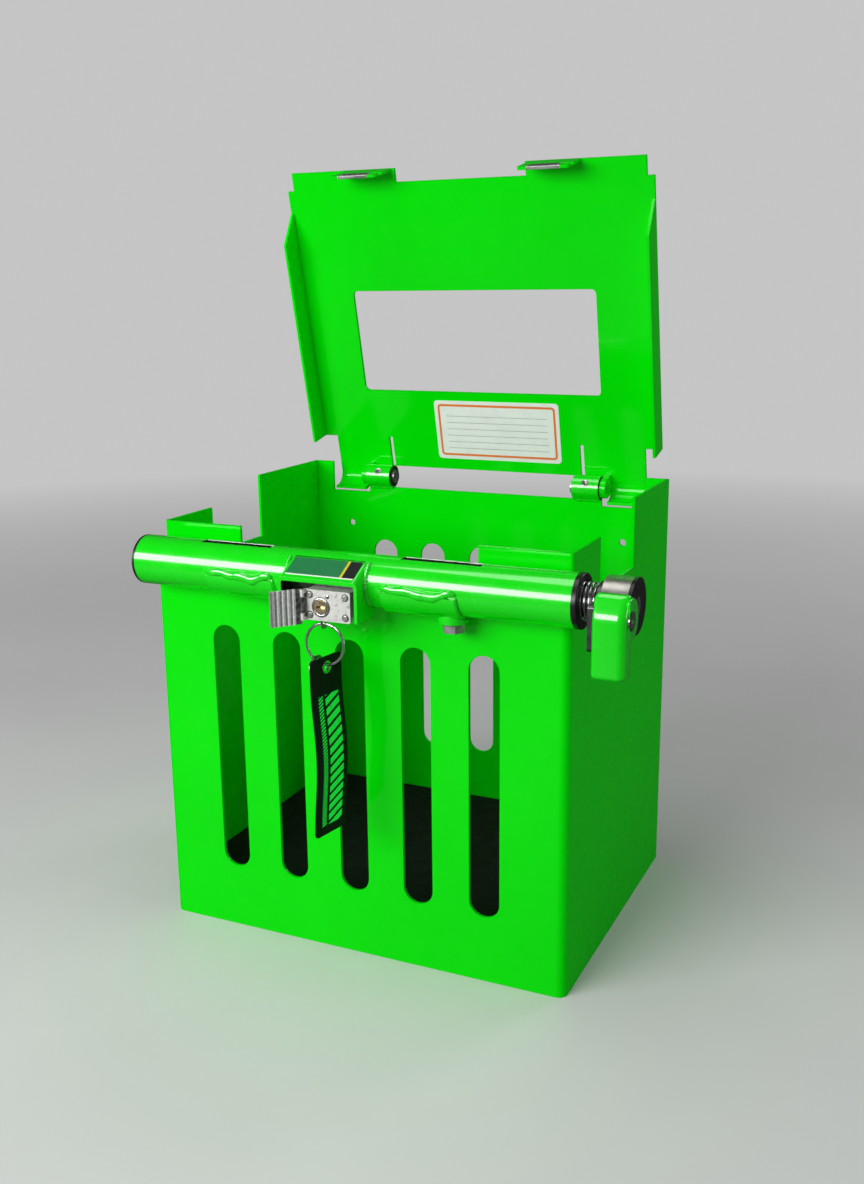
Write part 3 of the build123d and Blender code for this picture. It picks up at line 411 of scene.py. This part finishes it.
def strap_weave(drop):
    """Black woven strap with a row of slanted green bars and a row of ticks, the print given a
    painted glow.
    """
    slant = 0.45
    bar_pitch, bar_share, bar_centre, bar_half = 8.6 * MM, 0.68, 5.2 * MM, 8.8 * MM
    tick_pitch, tick_share, tick_centre, tick_half = 2.9 * MM, 0.55, -9.5 * MM, 2.8 * MM
    print_centre, print_half = 0.52 * drop, 0.37 * drop
    weft_pitch, warp_pitch = 0.7 * MM, 0.9 * MM
    strap = Shader("strap_weave")
    across = strap.along(fob_across, fob_hole)
    down = strap.along(-UP, fob_hole)
    slanted = strap.math("MULTIPLY_ADD", across, slant, down)
    bars = strap.stripes(slanted, bar_pitch, bar_share)
    bars = strap.math("MULTIPLY", bars, strap.band(across, bar_centre, bar_half))
    ticks = strap.stripes(slanted, tick_pitch, tick_share)
    ticks = strap.math("MULTIPLY", ticks, strap.band(across, tick_centre, tick_half))
    green = strap.math("MAXIMUM", bars, ticks)
    green = strap.math("MULTIPLY", green, strap.band(down, print_centre, print_half))
    worn = strap.spread(strap.noise(700, 4), 0.6, 1, 0.35, 0.5)
    green = strap.math("MULTIPLY", green, worn)
    weft = strap.math("SINE", strap.math("MULTIPLY", down, 2 * pi / weft_pitch))
    warp = strap.math("SINE", strap.math("MULTIPLY", across, 2 * pi / warp_pitch))
    strap.set(
        Base_Color=strap.mix(green, STRAP_BLACK, STRAP_GREEN),
        Roughness=strap.spread(strap.noise(200, 4), 0.55, 0.75),
        Specular_IOR_Level=0.15,
        # Painted glow that brightens the green print
        Emission_Color=strap.mix(green, NO_GLOW, STRAP_PAINTED_GLOW),
        Emission_Strength=1.0,
        Normal=strap.bump(strap.math("MULTIPLY", weft, warp), 0.5, 0.08 * MM),
    )
    return strap.material


def mesh_piece(name, points, faces, material, smooth=True):
    """A mesh in the shared frame with its finish."""
    mesh = bpy.data.meshes.new(name)
    mesh.from_pydata([tuple(point) for point in points], [], faces)
    mesh.validate()
    mesh.materials.append(material)
    for polygon in mesh.polygons:
        polygon.use_smooth = smooth
    made = bpy.data.objects.new(name, mesh)
    bpy.context.scene.collection.objects.link(made)
    return made


def ring_faces(rings, sides, closed=False):
    """Faces of a tube through rings of points, capped at both ends unless it closes on itself."""
    faces = []
    last = rings if closed else rings - 1
    for i in range(last):
        here, there = i * sides, (i + 1) % rings * sides
        for k in range(sides):
            after = (k + 1) % sides
            faces.append((here + k, here + after, there + after, there + k))
    if not closed:
        faces.append(tuple(reversed(range(sides))))
        faces.append(tuple((rings - 1) * sides + k for k in range(sides)))
    return faces


def circle(sides, first, second):
    """Offsets round a full turn, from first towards second."""
    angles = [2 * pi * k / sides for k in range(sides)]
    return [first * cos(angle) + second * sin(angle) for angle in angles]


def round_rectangle(half_a, half_b, radii, steps, inset=0.0):
    """Outline of a rectangle with a radius for each corner, drawn in by inset."""
    corners = ((1, 1), (-1, 1), (-1, -1), (1, -1))
    outline = []
    for turn, ((sign_a, sign_b), radius) in enumerate(zip(corners, radii)):
        for k in range(steps + 1):
            angle = (turn + k / steps) * pi / 2
            outline.append((
                sign_a * (half_a - radius) + (radius - inset) * cos(angle),
                sign_b * (half_b - radius) + (radius - inset) * sin(angle),
            ))
    return outline


# Slots in the tube's top: bare along their back edge, with black painted shade inside
slot_from_middle, slot_forward = 97 * MM, 1.2 * MM
slot_y = tube_axis.y - slot_forward
slots = [Vector((side * slot_from_middle, slot_y, tube_high.z)) for side in (-1, 1)]
slot_edge, slot_edge_half = BACK * 4.2 * MM, Vector((34, 0.5, 0.7)) * MM
slot_depth, slot_depth_half = -UP * 4 * MM, Vector((36, 4.6, 3.3)) * MM
slot_wear = [(slot + slot_edge, slot_edge_half) for slot in slots]
slot_shade = [(slot + slot_depth, slot_depth_half) for slot in slots]

# Hooks: bare where they catch the pins
hook_tip, hook_tip_half = lid_inward * 14 * MM, Vector((16, 10, 14)) * MM
hook_wear = []
for hook in ("lid_hook_left", "lid_hook_right"):
    low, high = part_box(hook)
    hook_wear.append(((low + high) / 2 + hook_tip, hook_tip_half))

# Black painted shade inside the shroud, reaching a little into its sheet
into_wall, into_roof, behind_mouth = 0.6 * MM, 0.4 * MM, 0.8 * MM
cavity_inset = shroud_sheet - into_wall
cavity_top = roof_front_z - shroud_sheet + into_roof
cavity_low = Vector((shroud_low.x + cavity_inset, shroud_low.y + behind_mouth, shroud_low.z))
cavity_high = Vector((shroud_high.x - cavity_inset, tube_axis.y, cavity_top))
cavity = ((cavity_low + cavity_high) / 2, (cavity_high - cavity_low) / 2)

# Finishes of the material slots, and of the nodes that have their own
GLOSSY = {"gloss": 0.9, "shine": 0.4}
BRUSHED_ACROSS, BRUSHED_UP = (0.1, 1, 1), (1, 1, 0.1)
weld_green = green_coat("weld_green", rim=0.2 * MM, gloss=1.0, shine=0.8)
gloss_coat = green_coat("gloss_coat", **GLOSSY)
finishes = {
    "green_coat": green_coat("shell_coat"),
    "black_mat": plastic(
        "mat_rubber", fresh=(0.006, 0.007, 0.006), dull=(0.011, 0.013, 0.011),
        roughness=(0.62, 0.85), grain_scale=500, grain_depth=0.3 * MM, shine=0.12),
    "black_plastic": plastic(
        "cap_plastic", fresh=(0.006, 0.006, 0.006), dull=(0.014, 0.014, 0.014),
        roughness=(0.25, 0.42), grain_scale=900, grain_depth=0.05 * MM),
    "spring_steel": metal(
        "spring_steel", fresh=(0.75, 0.76, 0.76), dull=(0.5, 0.51, 0.52), roughness=(0.14, 0.3)),
    "bare_steel": metal(
        "bare_steel", fresh=(0.6, 0.6, 0.59), dull=(0.42, 0.42, 0.41),
        roughness=(0.24, 0.42), grain=BRUSHED_ACROSS),
    "dark_steel": metal(
        "dark_steel", fresh=(0.14, 0.14, 0.15), dull=(0.07, 0.07, 0.075), roughness=(0.3, 0.5)),
    "chrome_plate": metal(
        "chrome_plate", fresh=(0.86, 0.87, 0.88), dull=(0.7, 0.71, 0.73),
        roughness=(0.16, 0.26), grain=BRUSHED_UP, scratch=0.05),
    "zinc_steel": metal(
        "zinc_steel", fresh=(0.7, 0.71, 0.7), dull=(0.5, 0.5, 0.48), roughness=(0.24, 0.4)),
    "zinc_casting": metal(
        "zinc_casting", fresh=(0.74, 0.75, 0.72), dull=(0.56, 0.56, 0.53),
        roughness=(0.28, 0.42), scratch=0.25),
    "brass_plug": metal(
        "brass_plug", fresh=(0.83, 0.72, 0.42), dull=(0.66, 0.55, 0.3), roughness=(0.2, 0.36)),
    "white_film": label_film(),
    "black_strap": strap_weave(fob_high.z - fob_low.z),
}
special = {
    "lock_tube": green_coat(
        "tube_coat", slot_wear, ragged=0.3 * MM, painted_shade=slot_shade + [cavity], **GLOSSY),
    "lid_hook_left": green_coat("left_hook_coat", hook_wear[:1]),
    "lid_hook_right": green_coat("right_hook_coat", hook_wear[1:]),
    "lock_body": lock_face(),
    "dust_cover": ribbed_cover(),
    "lock_shroud": green_coat("shroud_coat", painted_shade=[cavity], **GLOSSY),
    "bar_head": metal(
        "turned_head", fresh=(0.5, 0.49, 0.44), dull=(0.34, 0.33, 0.3),
        roughness=(0.26, 0.4), grain=BRUSHED_ACROSS),
    "handle_screw": metal(
        "screw_steel", fresh=(0.8, 0.8, 0.8), dull=(0.6, 0.6, 0.6), roughness=(0.12, 0.25)),
}
saddles = ("tube_saddle_left", "tube_saddle_right")
barrels = ("hinge_barrel_left", "hinge_barrel_right")
special.update({name: gloss_coat for name in (*saddles, "stop_boss", *barrels)})
node_slots = {entry["node"]: entry["material_slot"] for entry in frame["record"]["subparts"]}
for name, node in nodes.items():
    node.data.materials.clear()
    node.data.materials.append(special.get(name, finishes[node_slots[name]]))


def around_tube(angle, x, radius):
    """A point round the tube's axis and the outward normal there."""
    normal = Vector((0, cos(angle), sin(angle)))
    return tube_axis + RIGHT * x + normal * radius, normal


def along_tube(angle, start, end, lift):
    """Path of a bead along the tube."""
    def place(t, drift):
        return around_tube(angle + drift, start + t * (end - start), tube_radius + lift)
    return place


def round_tube(x, start, end, lift=0.0, lean=0):
    """Path of a bead round the tube from one angle to another, its normal leaning sideways."""
    def place(t, drift):
        point, normal = around_tube(start + t * (end - start), x, tube_radius + lift)
        return point, (normal + RIGHT * lean).normalized()
    return place


def straight(start, end, normal):
    """Path of a bead along a straight line."""
    def place(t, drift):
        return start + t * (end - start), normal
    return place


def weld_bead(name, place, length, width, height, seed, pitch=2.6 * MM, wander=0.0):
    """A rippled bead. place(t, drift) gives a point and the outward normal for t from 0 to 1."""
    least_steps, steps_per_ripple, sides = 24, 7, 12
    look, end_share = 0.004, 0.35
    rng = random.Random(seed)
    phases = [rng.uniform(0, 2 * pi) for _ in range(3)]
    steps = max(least_steps, int(length / pitch * steps_per_ripple))
    points = []
    for i in range(steps + 1):
        t = i / steps
        drift = wander * sum(sin(2 * pi * (n + 1.3) * t + phases[n]) / (n + 1) for n in range(3))
        here, normal = place(t, drift)
        ahead, _ = place(min(1, t + look), drift)
        behind, _ = place(max(0, t - look), drift)
        side = (ahead - behind).normalized().cross(normal)
        ripple = abs(sin(pi * t * length / pitch + phases[0]))
        from_end = min(1.0, t * length / width, (1 - t) * length / width)
        taper = end_share + (1 - end_share) * from_end**0.5
        swell = taper * (1 + 0.12 * sin(7 * t + phases[1])) * rng.uniform(0.97, 1.03)
        half_width = width / 2 * (0.92 + 0.14 * ripple) * swell
        rise = height * (0.86 + 0.22 * ripple) * swell
        points += [here + offset for offset in circle(sides, side * half_width, normal * rise)]
    made = mesh_piece(name, points, ring_faces(steps + 1, sides), weld_green)
    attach(made, "cage")


# Weld beads of the saddle plates: a wavy one along the tube and a thin one round each end
saddle_edge, saddle_wrap = radians(184), radians(105)
wrap_length = 1.8 * tube_radius
for label, seed in (("left", 11), ("right", 12)):
    low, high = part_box(f"tube_saddle_{label}")
    path = along_tube(saddle_edge, low.x, high.x, 0.8 * MM)
    weld_bead(f"saddle_bead_{label}", path, high.x - low.x,
              width=8 * MM, height=3.2 * MM, seed=seed, pitch=13 * MM, wander=0.075)
    for end, x in (("a", low.x), ("b", high.x)):
        path = round_tube(x, saddle_edge, saddle_edge + saddle_wrap, 0.6 * MM)
        weld_bead(f"saddle_end_{label}_{end}", path, wrap_length,
                  width=3 * MM, height=1.6 * MM, seed=seed + 5)

# Beads where the shroud stands on the tube
shroud_bead_start, shroud_bead_end = radians(124), radians(232)
shroud_bead_x = shroud_high.x + 0.4 * MM
shroud_bead_length = 1.9 * tube_radius
for label, side in (("left", -1), ("right", 1)):
    path = round_tube(side * shroud_bead_x, shroud_bead_start, shroud_bead_end, lean=side)
    weld_bead(f"shroud_bead_{label}", path, shroud_bead_length,
              width=4 * MM, height=2 * MM, seed=31 + side)

# Tacks along the top of the front wall, where it meets the tube behind and under its axis
wall_behind, wall_under = 16 * MM, 15.1 * MM
tack_angle = atan2(-wall_under, wall_behind) - radians(3)
tack_first, tack_pitch, tack_length = -165 * MM, 66 * MM, 26 * MM
for i in range(6):
    middle = tack_first + i * tack_pitch
    path = along_tube(tack_angle, middle - tack_length / 2, middle + tack_length / 2, 0.4 * MM)
    weld_bead(f"front_tack_{i}", path, tack_length, width=4 * MM, height=2 * MM, seed=50 + i)

# Upright beads of the corner brackets on the side walls
bead_end_gap, below_tube, bead_length = 2 * MM, 17 * MM, 28 * MM
for label, side in (("left", -1), ("right", 1)):
    low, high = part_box(f"corner_bracket_{label}")
    wall_x = low.x if side < 0 else high.x
    foot = Vector((wall_x, high.y, low.z + bead_end_gap))
    top = Vector((wall_x, high.y, min(high.z, tube_axis.z - below_tube) - bead_end_gap))
    path = straight(foot, top, Vector((-side, 1, 0)).normalized())
    weld_bead(f"bracket_bead_{label}", path, bead_length,
              width=4 * MM, height=2.2 * MM, seed=70 + side)

# Beads under the hinge barrels, on the front of the back wall
wall_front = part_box("back_panel")[0].y
foot_z = hinge_axis.z - (barrel_radius**2 - (hinge_axis.y - wall_front) ** 2) ** 0.5
foot_normal = Vector((0, -1, -0.35)).normalized()
for label in ("left", "right"):
    low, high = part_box(f"hinge_barrel_{label}")
    start, end = (Vector((x, wall_front, foot_z)) for x in (low.x, high.x))
    path = straight(start, end, foot_normal)
    weld_bead(f"barrel_bead_{label}", path, bead_length, width=4 * MM, height=1.8 * MM, seed=90)


def ring_piece(name, centre, axis, start, inner, outer, depth, slot, body, soft=0.15):
    """A flat ring round axis, with softened edges. start is a direction across the axis."""
    sides = 64
    half, edge = depth / 2, soft * depth
    profile = [
        (inner, edge - half), (inner + edge, -half), (outer - edge, -half), (outer, edge - half),
        (outer, half - edge), (outer - edge, half), (inner + edge, half), (inner, half - edge),
    ]
    points = []
    for ray in circle(sides, start, axis.cross(start)):
        points += [centre + ray * radius + axis * shift for radius, shift in profile]
    faces = ring_faces(sides, len(profile), closed=True)
    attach(mesh_piece(name, points, faces, finishes[slot]), body)


# Thin black washers at both ends of the hinge barrels
for label, side in (("left", -1), ("right", 1)):
    low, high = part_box(f"hinge_barrel_{label}")
    outer_x, inner_x = (low.x, high.x) if side < 0 else (high.x, low.x)
    pin_washer = hinge_axis + RIGHT * (inner_x - side * 0.2 * MM)
    ring_piece(f"pin_washer_{label}", pin_washer, RIGHT, BACK,
               inner=6.8 * MM, outer=11.2 * MM, depth=0.6 * MM, slot="black_plastic", body="cage")
    hinge_washer = hinge_axis + RIGHT * (outer_x + side * 0.25 * MM)
    ring_piece(f"hinge_washer_{label}", hinge_washer, RIGHT, BACK,
               inner=5 * MM, outer=11.6 * MM, depth=0.34 * MM, slot="black_plastic", body="cage")

# Bright rims of the set screws in the hinge barrels
screw_tilt = radians(30)
screw_out = Vector((0, -cos(screw_tilt), sin(screw_tilt)))
for label in ("left", "right"):
    low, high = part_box(f"hinge_barrel_{label}")
    rim_place = hinge_axis + RIGHT * (low.x + high.x) / 2 + screw_out * (barrel_radius - 0.25 * MM)
    ring_piece(f"set_screw_rim_{label}", rim_place, screw_out, RIGHT,
               inner=2.3 * MM, outer=3.9 * MM, depth=1 * MM, soft=0.3,
               slot="zinc_steel", body="cage")

# Collar pressed into the lock face round the key plug. The rivets stand on that face
lock_face_y = lock_high.y
collar_place = Vector((plug_middle.x, lock_face_y - 0.25 * MM, plug_middle.z))
ring_piece("plug_collar", collar_place, BACK, RIGHT,
           inner=6.3 * MM, outer=7.8 * MM, depth=0.5 * MM, soft=0.3,
           slot="chrome_plate", body="cage")


def dome(name, centre, out, radius, height, material, body):
    """A low round rivet head."""
    sides, layers, tip_share = 32, 6, 0.02
    points = []
    for i in range(layers + 1):
        rise = i / layers * pi / 2
        size = radius * (cos(rise) * (1 - tip_share) + tip_share)
        middle = centre + out * height * sin(rise)
        points += [middle + offset for offset in circle(sides, UP * size, out.cross(UP) * size)]
    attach(mesh_piece(name, points, ring_faces(layers + 1, sides), material), body)


# Fifth rivet, in the middle near the top of the lock face
stud_place = Vector(((lock_low.x + lock_high.x) / 2, lock_face_y, lock_high.z - 3 * MM))
dome("lock_stud", stud_place, -BACK, radius=2 * MM, height=0.8 * MM,
     material=finishes["zinc_steel"], body="cage")

# Return spring, between the bush and the handle plate
spring_low, spring_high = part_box("return_spring")
spring_wire, spring_turns = 2 * MM, 9
spring_radius = (spring_high.z - spring_low.z - spring_wire) / 2
spring_start = spring_low.x + spring_wire / 2
spring_length = spring_high.x - spring_low.x - spring_wire
closed_share = 0.045
spring_steps, spring_sides = 540, 12


def spring_rings():
    """Rings of the round wire, wound about the tube's axis with a closed turn at each end."""
    points = []
    for i in range(spring_steps + 1):
        t = i / spring_steps
        share = min(1.0, max(0.0, (t - closed_share) / (1 - 2 * closed_share)))
        angle = 2 * pi * spring_turns * t
        ray = Vector((0, cos(angle), sin(angle)))
        here = tube_axis + ray * spring_radius + RIGHT * (spring_start + spring_length * share)
        section = circle(spring_sides, ray * spring_wire / 2, RIGHT * spring_wire / 2)
        points += [here + offset for offset in section]
    return points


spring = mesh_piece("spring_coil", spring_rings(), ring_faces(spring_steps + 1, spring_sides),
                    finishes["spring_steel"])
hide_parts("return_spring")
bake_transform(spring)

# Pull handle: a grip with a crowned front and round edges
handle_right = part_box("pull_handle")[1].x
grip_low = Vector((233.6 * MM, -205 * MM, 306 * MM))
grip_high = Vector((handle_right - 1.3 * MM, -189 * MM, 371 * MM))
grip_rounds = (2 * MM, 2 * MM, 3.5 * MM, 7.5 * MM)
grip_end_round = 4 * MM
bend_height, bend_soft, bend_slope = 355 * MM, 4 * MM, 0.6
grip_steps, corner_steps = 56, 8


def grip_rings():
    """Rings from the foot to the top of the grip, whose front leans back above its bend."""
    middle = (grip_low + grip_high) / 2
    half = (grip_high - grip_low) / 2
    points = []
    for i in range(grip_steps + 1):
        z = grip_low.z + half.z * (1 - cos(pi * i / grip_steps))
        cut = max(0.0, grip_end_round - min(z - grip_low.z, grip_high.z - z))
        inset = grip_end_round - (grip_end_round**2 - cut**2) ** 0.5
        above = z - bend_height
        setback = bend_slope / 2 * (above + (above**2 + bend_soft**2) ** 0.5)
        for x, y in round_rectangle(half.x, half.y, grip_rounds, corner_steps):
            lean = setback * (half.y - y) / (2 * half.y)
            x *= (half.x - inset) / half.x
            y *= (half.y - inset) / half.y
            points.append(Vector((middle.x + x, middle.y + y + lean, z)))
    return points


grip_faces = ring_faces(grip_steps + 1, 4 * (corner_steps + 1))
grip = mesh_piece("handle_grip", grip_rings(), grip_faces, gloss_coat)
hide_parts("pull_handle")
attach(grip, "bar")

# Cheek of the handle, a round plate with a flat front and the shadow line of its screw
cheek_centre = Vector((handle_right - 3 * MM, -190 * MM, 351 * MM))
cheek_radius, cheek_round, cheek_flat = 17 * MM, 1.2 * MM, 1.1 * MM
cheek_front = -198 * MM
cheek_sides, cheek_round_steps = 72, 4
cheek_layers = [(0.0, 0.0), (cheek_flat, 0.0)]
for k in range(1, cheek_round_steps + 1):
    angle = k * pi / 2 / cheek_round_steps
    cheek_layers.append((cheek_flat + cheek_round * sin(angle), cheek_round * (1 - cos(angle))))
cheek_points = []
for lift, inset in cheek_layers:
    radius = cheek_radius - inset
    for offset in circle(cheek_sides, BACK * radius, UP * radius):
        point = cheek_centre + RIGHT * lift + offset
        cheek_points.append(Vector((point.x, max(point.y, cheek_front), point.z)))
cheek_faces = ring_faces(len(cheek_layers), cheek_sides)
cheek = mesh_piece("handle_cheek", cheek_points, cheek_faces, gloss_coat)
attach(cheek, "bar")
screw_low, screw_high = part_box("handle_screw")
screw_face = line_through(screw_low, screw_high) + RIGHT * (screw_high.x - 0.15 * MM)
ring_piece("screw_shadow_ring", screw_face, RIGHT, BACK,
           inner=6.6 * MM, outer=7.4 * MM, depth=0.5 * MM, slot="black_plastic", body="bar")

# Split ring wound in two turns of flat wire
ring_low, ring_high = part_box("key_ring")
ring_middle = (ring_low + ring_high) / 2
ring_wire = ring_high.y - ring_low.y
ring_radius = (ring_high.x - ring_low.x - ring_wire) / 2
ring_turns, ring_opening = 2, radians(60)
ring_steps, ring_sides = 260, 12
ring_points = []
for i in range(ring_steps + 1):
    t = i / ring_steps
    angle = 2 * pi * ring_turns * t + ring_opening
    ray = Vector((cos(angle), 0, sin(angle)))
    here = ring_middle + ray * ring_radius + BACK * (t - 0.5) * ring_wire / 2 * 0.98
    section = circle(ring_sides, ray * ring_wire / 2 * 0.9, BACK * ring_wire / 4 * 0.96)
    ring_points += [here + offset for offset in section]
split_ring = mesh_piece("split_ring", ring_points, ring_faces(ring_steps + 1, ring_sides),
                        finishes["chrome_plate"])
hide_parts("key_ring")
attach(split_ring, "ring")

# Fob strap, slightly bowed, with a hole for the eyelet
strap_width, strap_thickness, strap_bow = 40 * MM, 2 * MM, 4.2 * MM
strap_length = fob_high.z - fob_low.z
strap_top = fob_high.z - fob_hole.z
strap_straight = 20 * MM
edge_round, edge_steps, strap_corner = 0.6 * MM, 3, 3 * MM
strap_steps = 72
hole_radius, hole_reach, hole_sides = 3.9 * MM, 6 * MM, 48


def strap_half_width(down):
    """Half width of the strap at a height, narrower at its rounded corners."""
    cut = max(0.0, strap_corner - min(down, strap_length - down))
    return strap_width / 2 - (strap_corner - (strap_corner**2 - cut**2) ** 0.5)


def strap_rings():
    """Rings from the top of the strap to its end, closer together at both ends."""
    points = []
    for i in range(strap_steps + 1):
        down = strap_length * (1 - cos(pi * i / strap_steps)) / 2
        bowed_share = max(0.0, (down - strap_straight) / (strap_length - strap_straight))
        bow = strap_bow * sin(pi * bowed_share) ** 2
        spine = fob_hole + UP * (strap_top - down) + fob_normal * bow
        outline = round_rectangle(
            strap_half_width(down), strap_thickness / 2, [edge_round] * 4, edge_steps)
        points += [spine + fob_across * a + fob_normal * n for a, n in outline]
    return points


def cut_hole(obj, centre, axis, radius, depth, sides):
    """A round hole through obj."""
    points = []
    for shift in (-depth, depth):
        offsets = circle(sides, UP * radius, axis.cross(UP) * radius)
        points += [centre + axis * shift + offset for offset in offsets]
    material = obj.data.materials[0]
    cutter = mesh_piece("hole_cutter", points, ring_faces(2, sides), material)
    boolean = obj.modifiers.new("hole", "BOOLEAN")
    boolean.object = cutter
    boolean.operation = "DIFFERENCE"
    boolean.solver = "EXACT"
    cut = bpy.data.meshes.new_from_object(obj.evaluated_get(bpy.context.evaluated_depsgraph_get()))
    obj.modifiers.clear()
    obj.data = cut
    bpy.data.objects.remove(cutter)


strap = mesh_piece("fob_strap", strap_rings(), ring_faces(strap_steps + 1, 4 * (edge_steps + 1)),
                   finishes["black_strap"])
cut_hole(strap, fob_hole, fob_normal, hole_radius, hole_reach, hole_sides)
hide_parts("key_fob")
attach(strap, "fob")

# Small plate on the slope of the shroud, with a chamfered edge
slope_low = Vector((0, shroud_low.y, roof_front_z))
slope_high = Vector((0, roof_top_y, roof_top_z))
slope_up = (slope_high - slope_low).normalized()
slope_out = RIGHT.cross(slope_up).normalized()
plate_centre = (slope_low + slope_high) / 2 + slope_up * 0.4 * MM
plate_layers = ((0.0, 0.0), (0.22 * MM, 0.0), (0.3 * MM, 0.12 * MM))
plate_corner_steps = 6
plate_points = []
for lift, inset in plate_layers:
    outline = round_rectangle(
        plate_half_width, plate_half_height, [plate_round] * 4, plate_corner_steps, inset)
    plate_points += [plate_centre + RIGHT * a + slope_up * b + slope_out * lift for a, b in outline]
plate_faces = ring_faces(len(plate_layers), 4 * (plate_corner_steps + 1))
shroud_plate = mesh_piece("shroud_plate", plate_points, plate_faces,
                          plate_paint(plate_centre, slope_up), smooth=False)
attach(shroud_plate, "cage")

# Camera where the photograph was taken from
azimuth, elevation, roll = radians(24.868), radians(13.75), radians(-0.606)
camera_place = Vector((502.0, -1061.5, 592.7)) * MM
photo_height = 1184
focal_pixels = 1251.3
view_right = Vector((cos(azimuth), sin(azimuth), 0))
view_level = Vector((-sin(azimuth), cos(azimuth), 0))
view_ahead = view_level * cos(elevation) - UP * sin(elevation)
view_up = view_right.cross(view_ahead)
rolled_right = view_right * cos(roll) + view_up * sin(roll)
rolled_up = view_up * cos(roll) - view_right * sin(roll)
camera_data = bpy.data.cameras.new("camera")
# The sensor's width spans the longer side of the picture
camera_data.sensor_width = 36
camera_data.lens = focal_pixels * camera_data.sensor_width / photo_height
camera = bpy.data.objects.new("camera", camera_data)
turned = Matrix((rolled_right, rolled_up, -view_ahead)).transposed().to_4x4()
camera.matrix_world = Matrix.Translation(camera_place) @ turned
bpy.context.scene.collection.objects.link(camera)
bpy.context.scene.camera = camera

# Soft studio light, aimed at the middle of the object
lit_middle = Vector((0, 0, 0.32))


def softbox(name, position, width, height, power):
    """A rectangular lamp, its sizes in metres and its power in watts."""
    lamp_data = bpy.data.lights.new(name, "AREA")
    lamp_data.shape = "RECTANGLE"
    lamp_data.size = width
    lamp_data.size_y = height
    lamp_data.energy = power
    lamp = bpy.data.objects.new(name, lamp_data)
    lamp.location = position
    aim = lit_middle - Vector(position)
    lamp.rotation_euler = aim.to_track_quat("-Z", "Y").to_euler()
    bpy.context.scene.collection.objects.link(lamp)


softbox("key", (-0.75, -1.75, 0.95), width=1.7, height=0.75, power=35)
softbox("top", (-0.2, -0.3, 2.2), width=1.0, height=1.0, power=7)
softbox("side", (2.4, -0.2, 0.9), width=0.5, height=1.2, power=7)
softbox("back", (1.1, 1.7, 1.5), width=0.6, height=1.0, power=6)

# Room and floor: pale behind the object, dark where shiny surfaces mirror them
ROOM = {"seen": 0.56, "mirrored": 0.05, "other": 0.2}
FLOOR = {"seen": 0.72, "mirrored": 0.05, "other": 0.4}
world = bpy.data.worlds.new("studio")
world.use_nodes = True
bpy.context.scene.world = world
room = Nodes(world.node_tree)
room.feed(room.tree.nodes["Background"].inputs["Color"], room.ray_grey(**ROOM))

# The floor fades into the room far from the object
floor_half, fade_start, fade_end = 14, 0.8, 3.0
floor_signs = ((-1, -1), (1, -1), (1, 1), (-1, 1))
floor_corners = [(x * floor_half, y * floor_half, 0) for x, y in floor_signs]
floor_mesh = bpy.data.meshes.new("floor")
floor_mesh.from_pydata(floor_corners, [], [(0, 1, 2, 3)])
floor = bpy.data.objects.new("floor", floor_mesh)
bpy.context.scene.collection.objects.link(floor)
ground = Shader("floor_paint")
cloudy = ground.spread(ground.noise(3, 4), 0.97, 1.03)
ground.set(Base_Color=ground.math("MULTIPLY", cloudy, ground.ray_grey(**FLOOR)), Roughness=0.6)
far = ground.node("ShaderNodeEmission")
ground.feed(far.inputs["Color"], ground.ray_grey(**ROOM))
distance = ground.vector("LENGTH", ground.point)
blend = ground.node("ShaderNodeMixShader")
ground.feed(blend.inputs[0], ground.spread(distance, 0, 1, fade_start, fade_end))
ground.feed(blend.inputs[1], ground.principled.outputs[0])
ground.feed(blend.inputs[2], far.outputs[0])
ground.feed(ground.tree.nodes["Material Output"].inputs["Surface"], blend.outputs[0])
floor_mesh.materials.append(ground.material)

bpy.context.scene.view_settings.view_transform = "Standard"
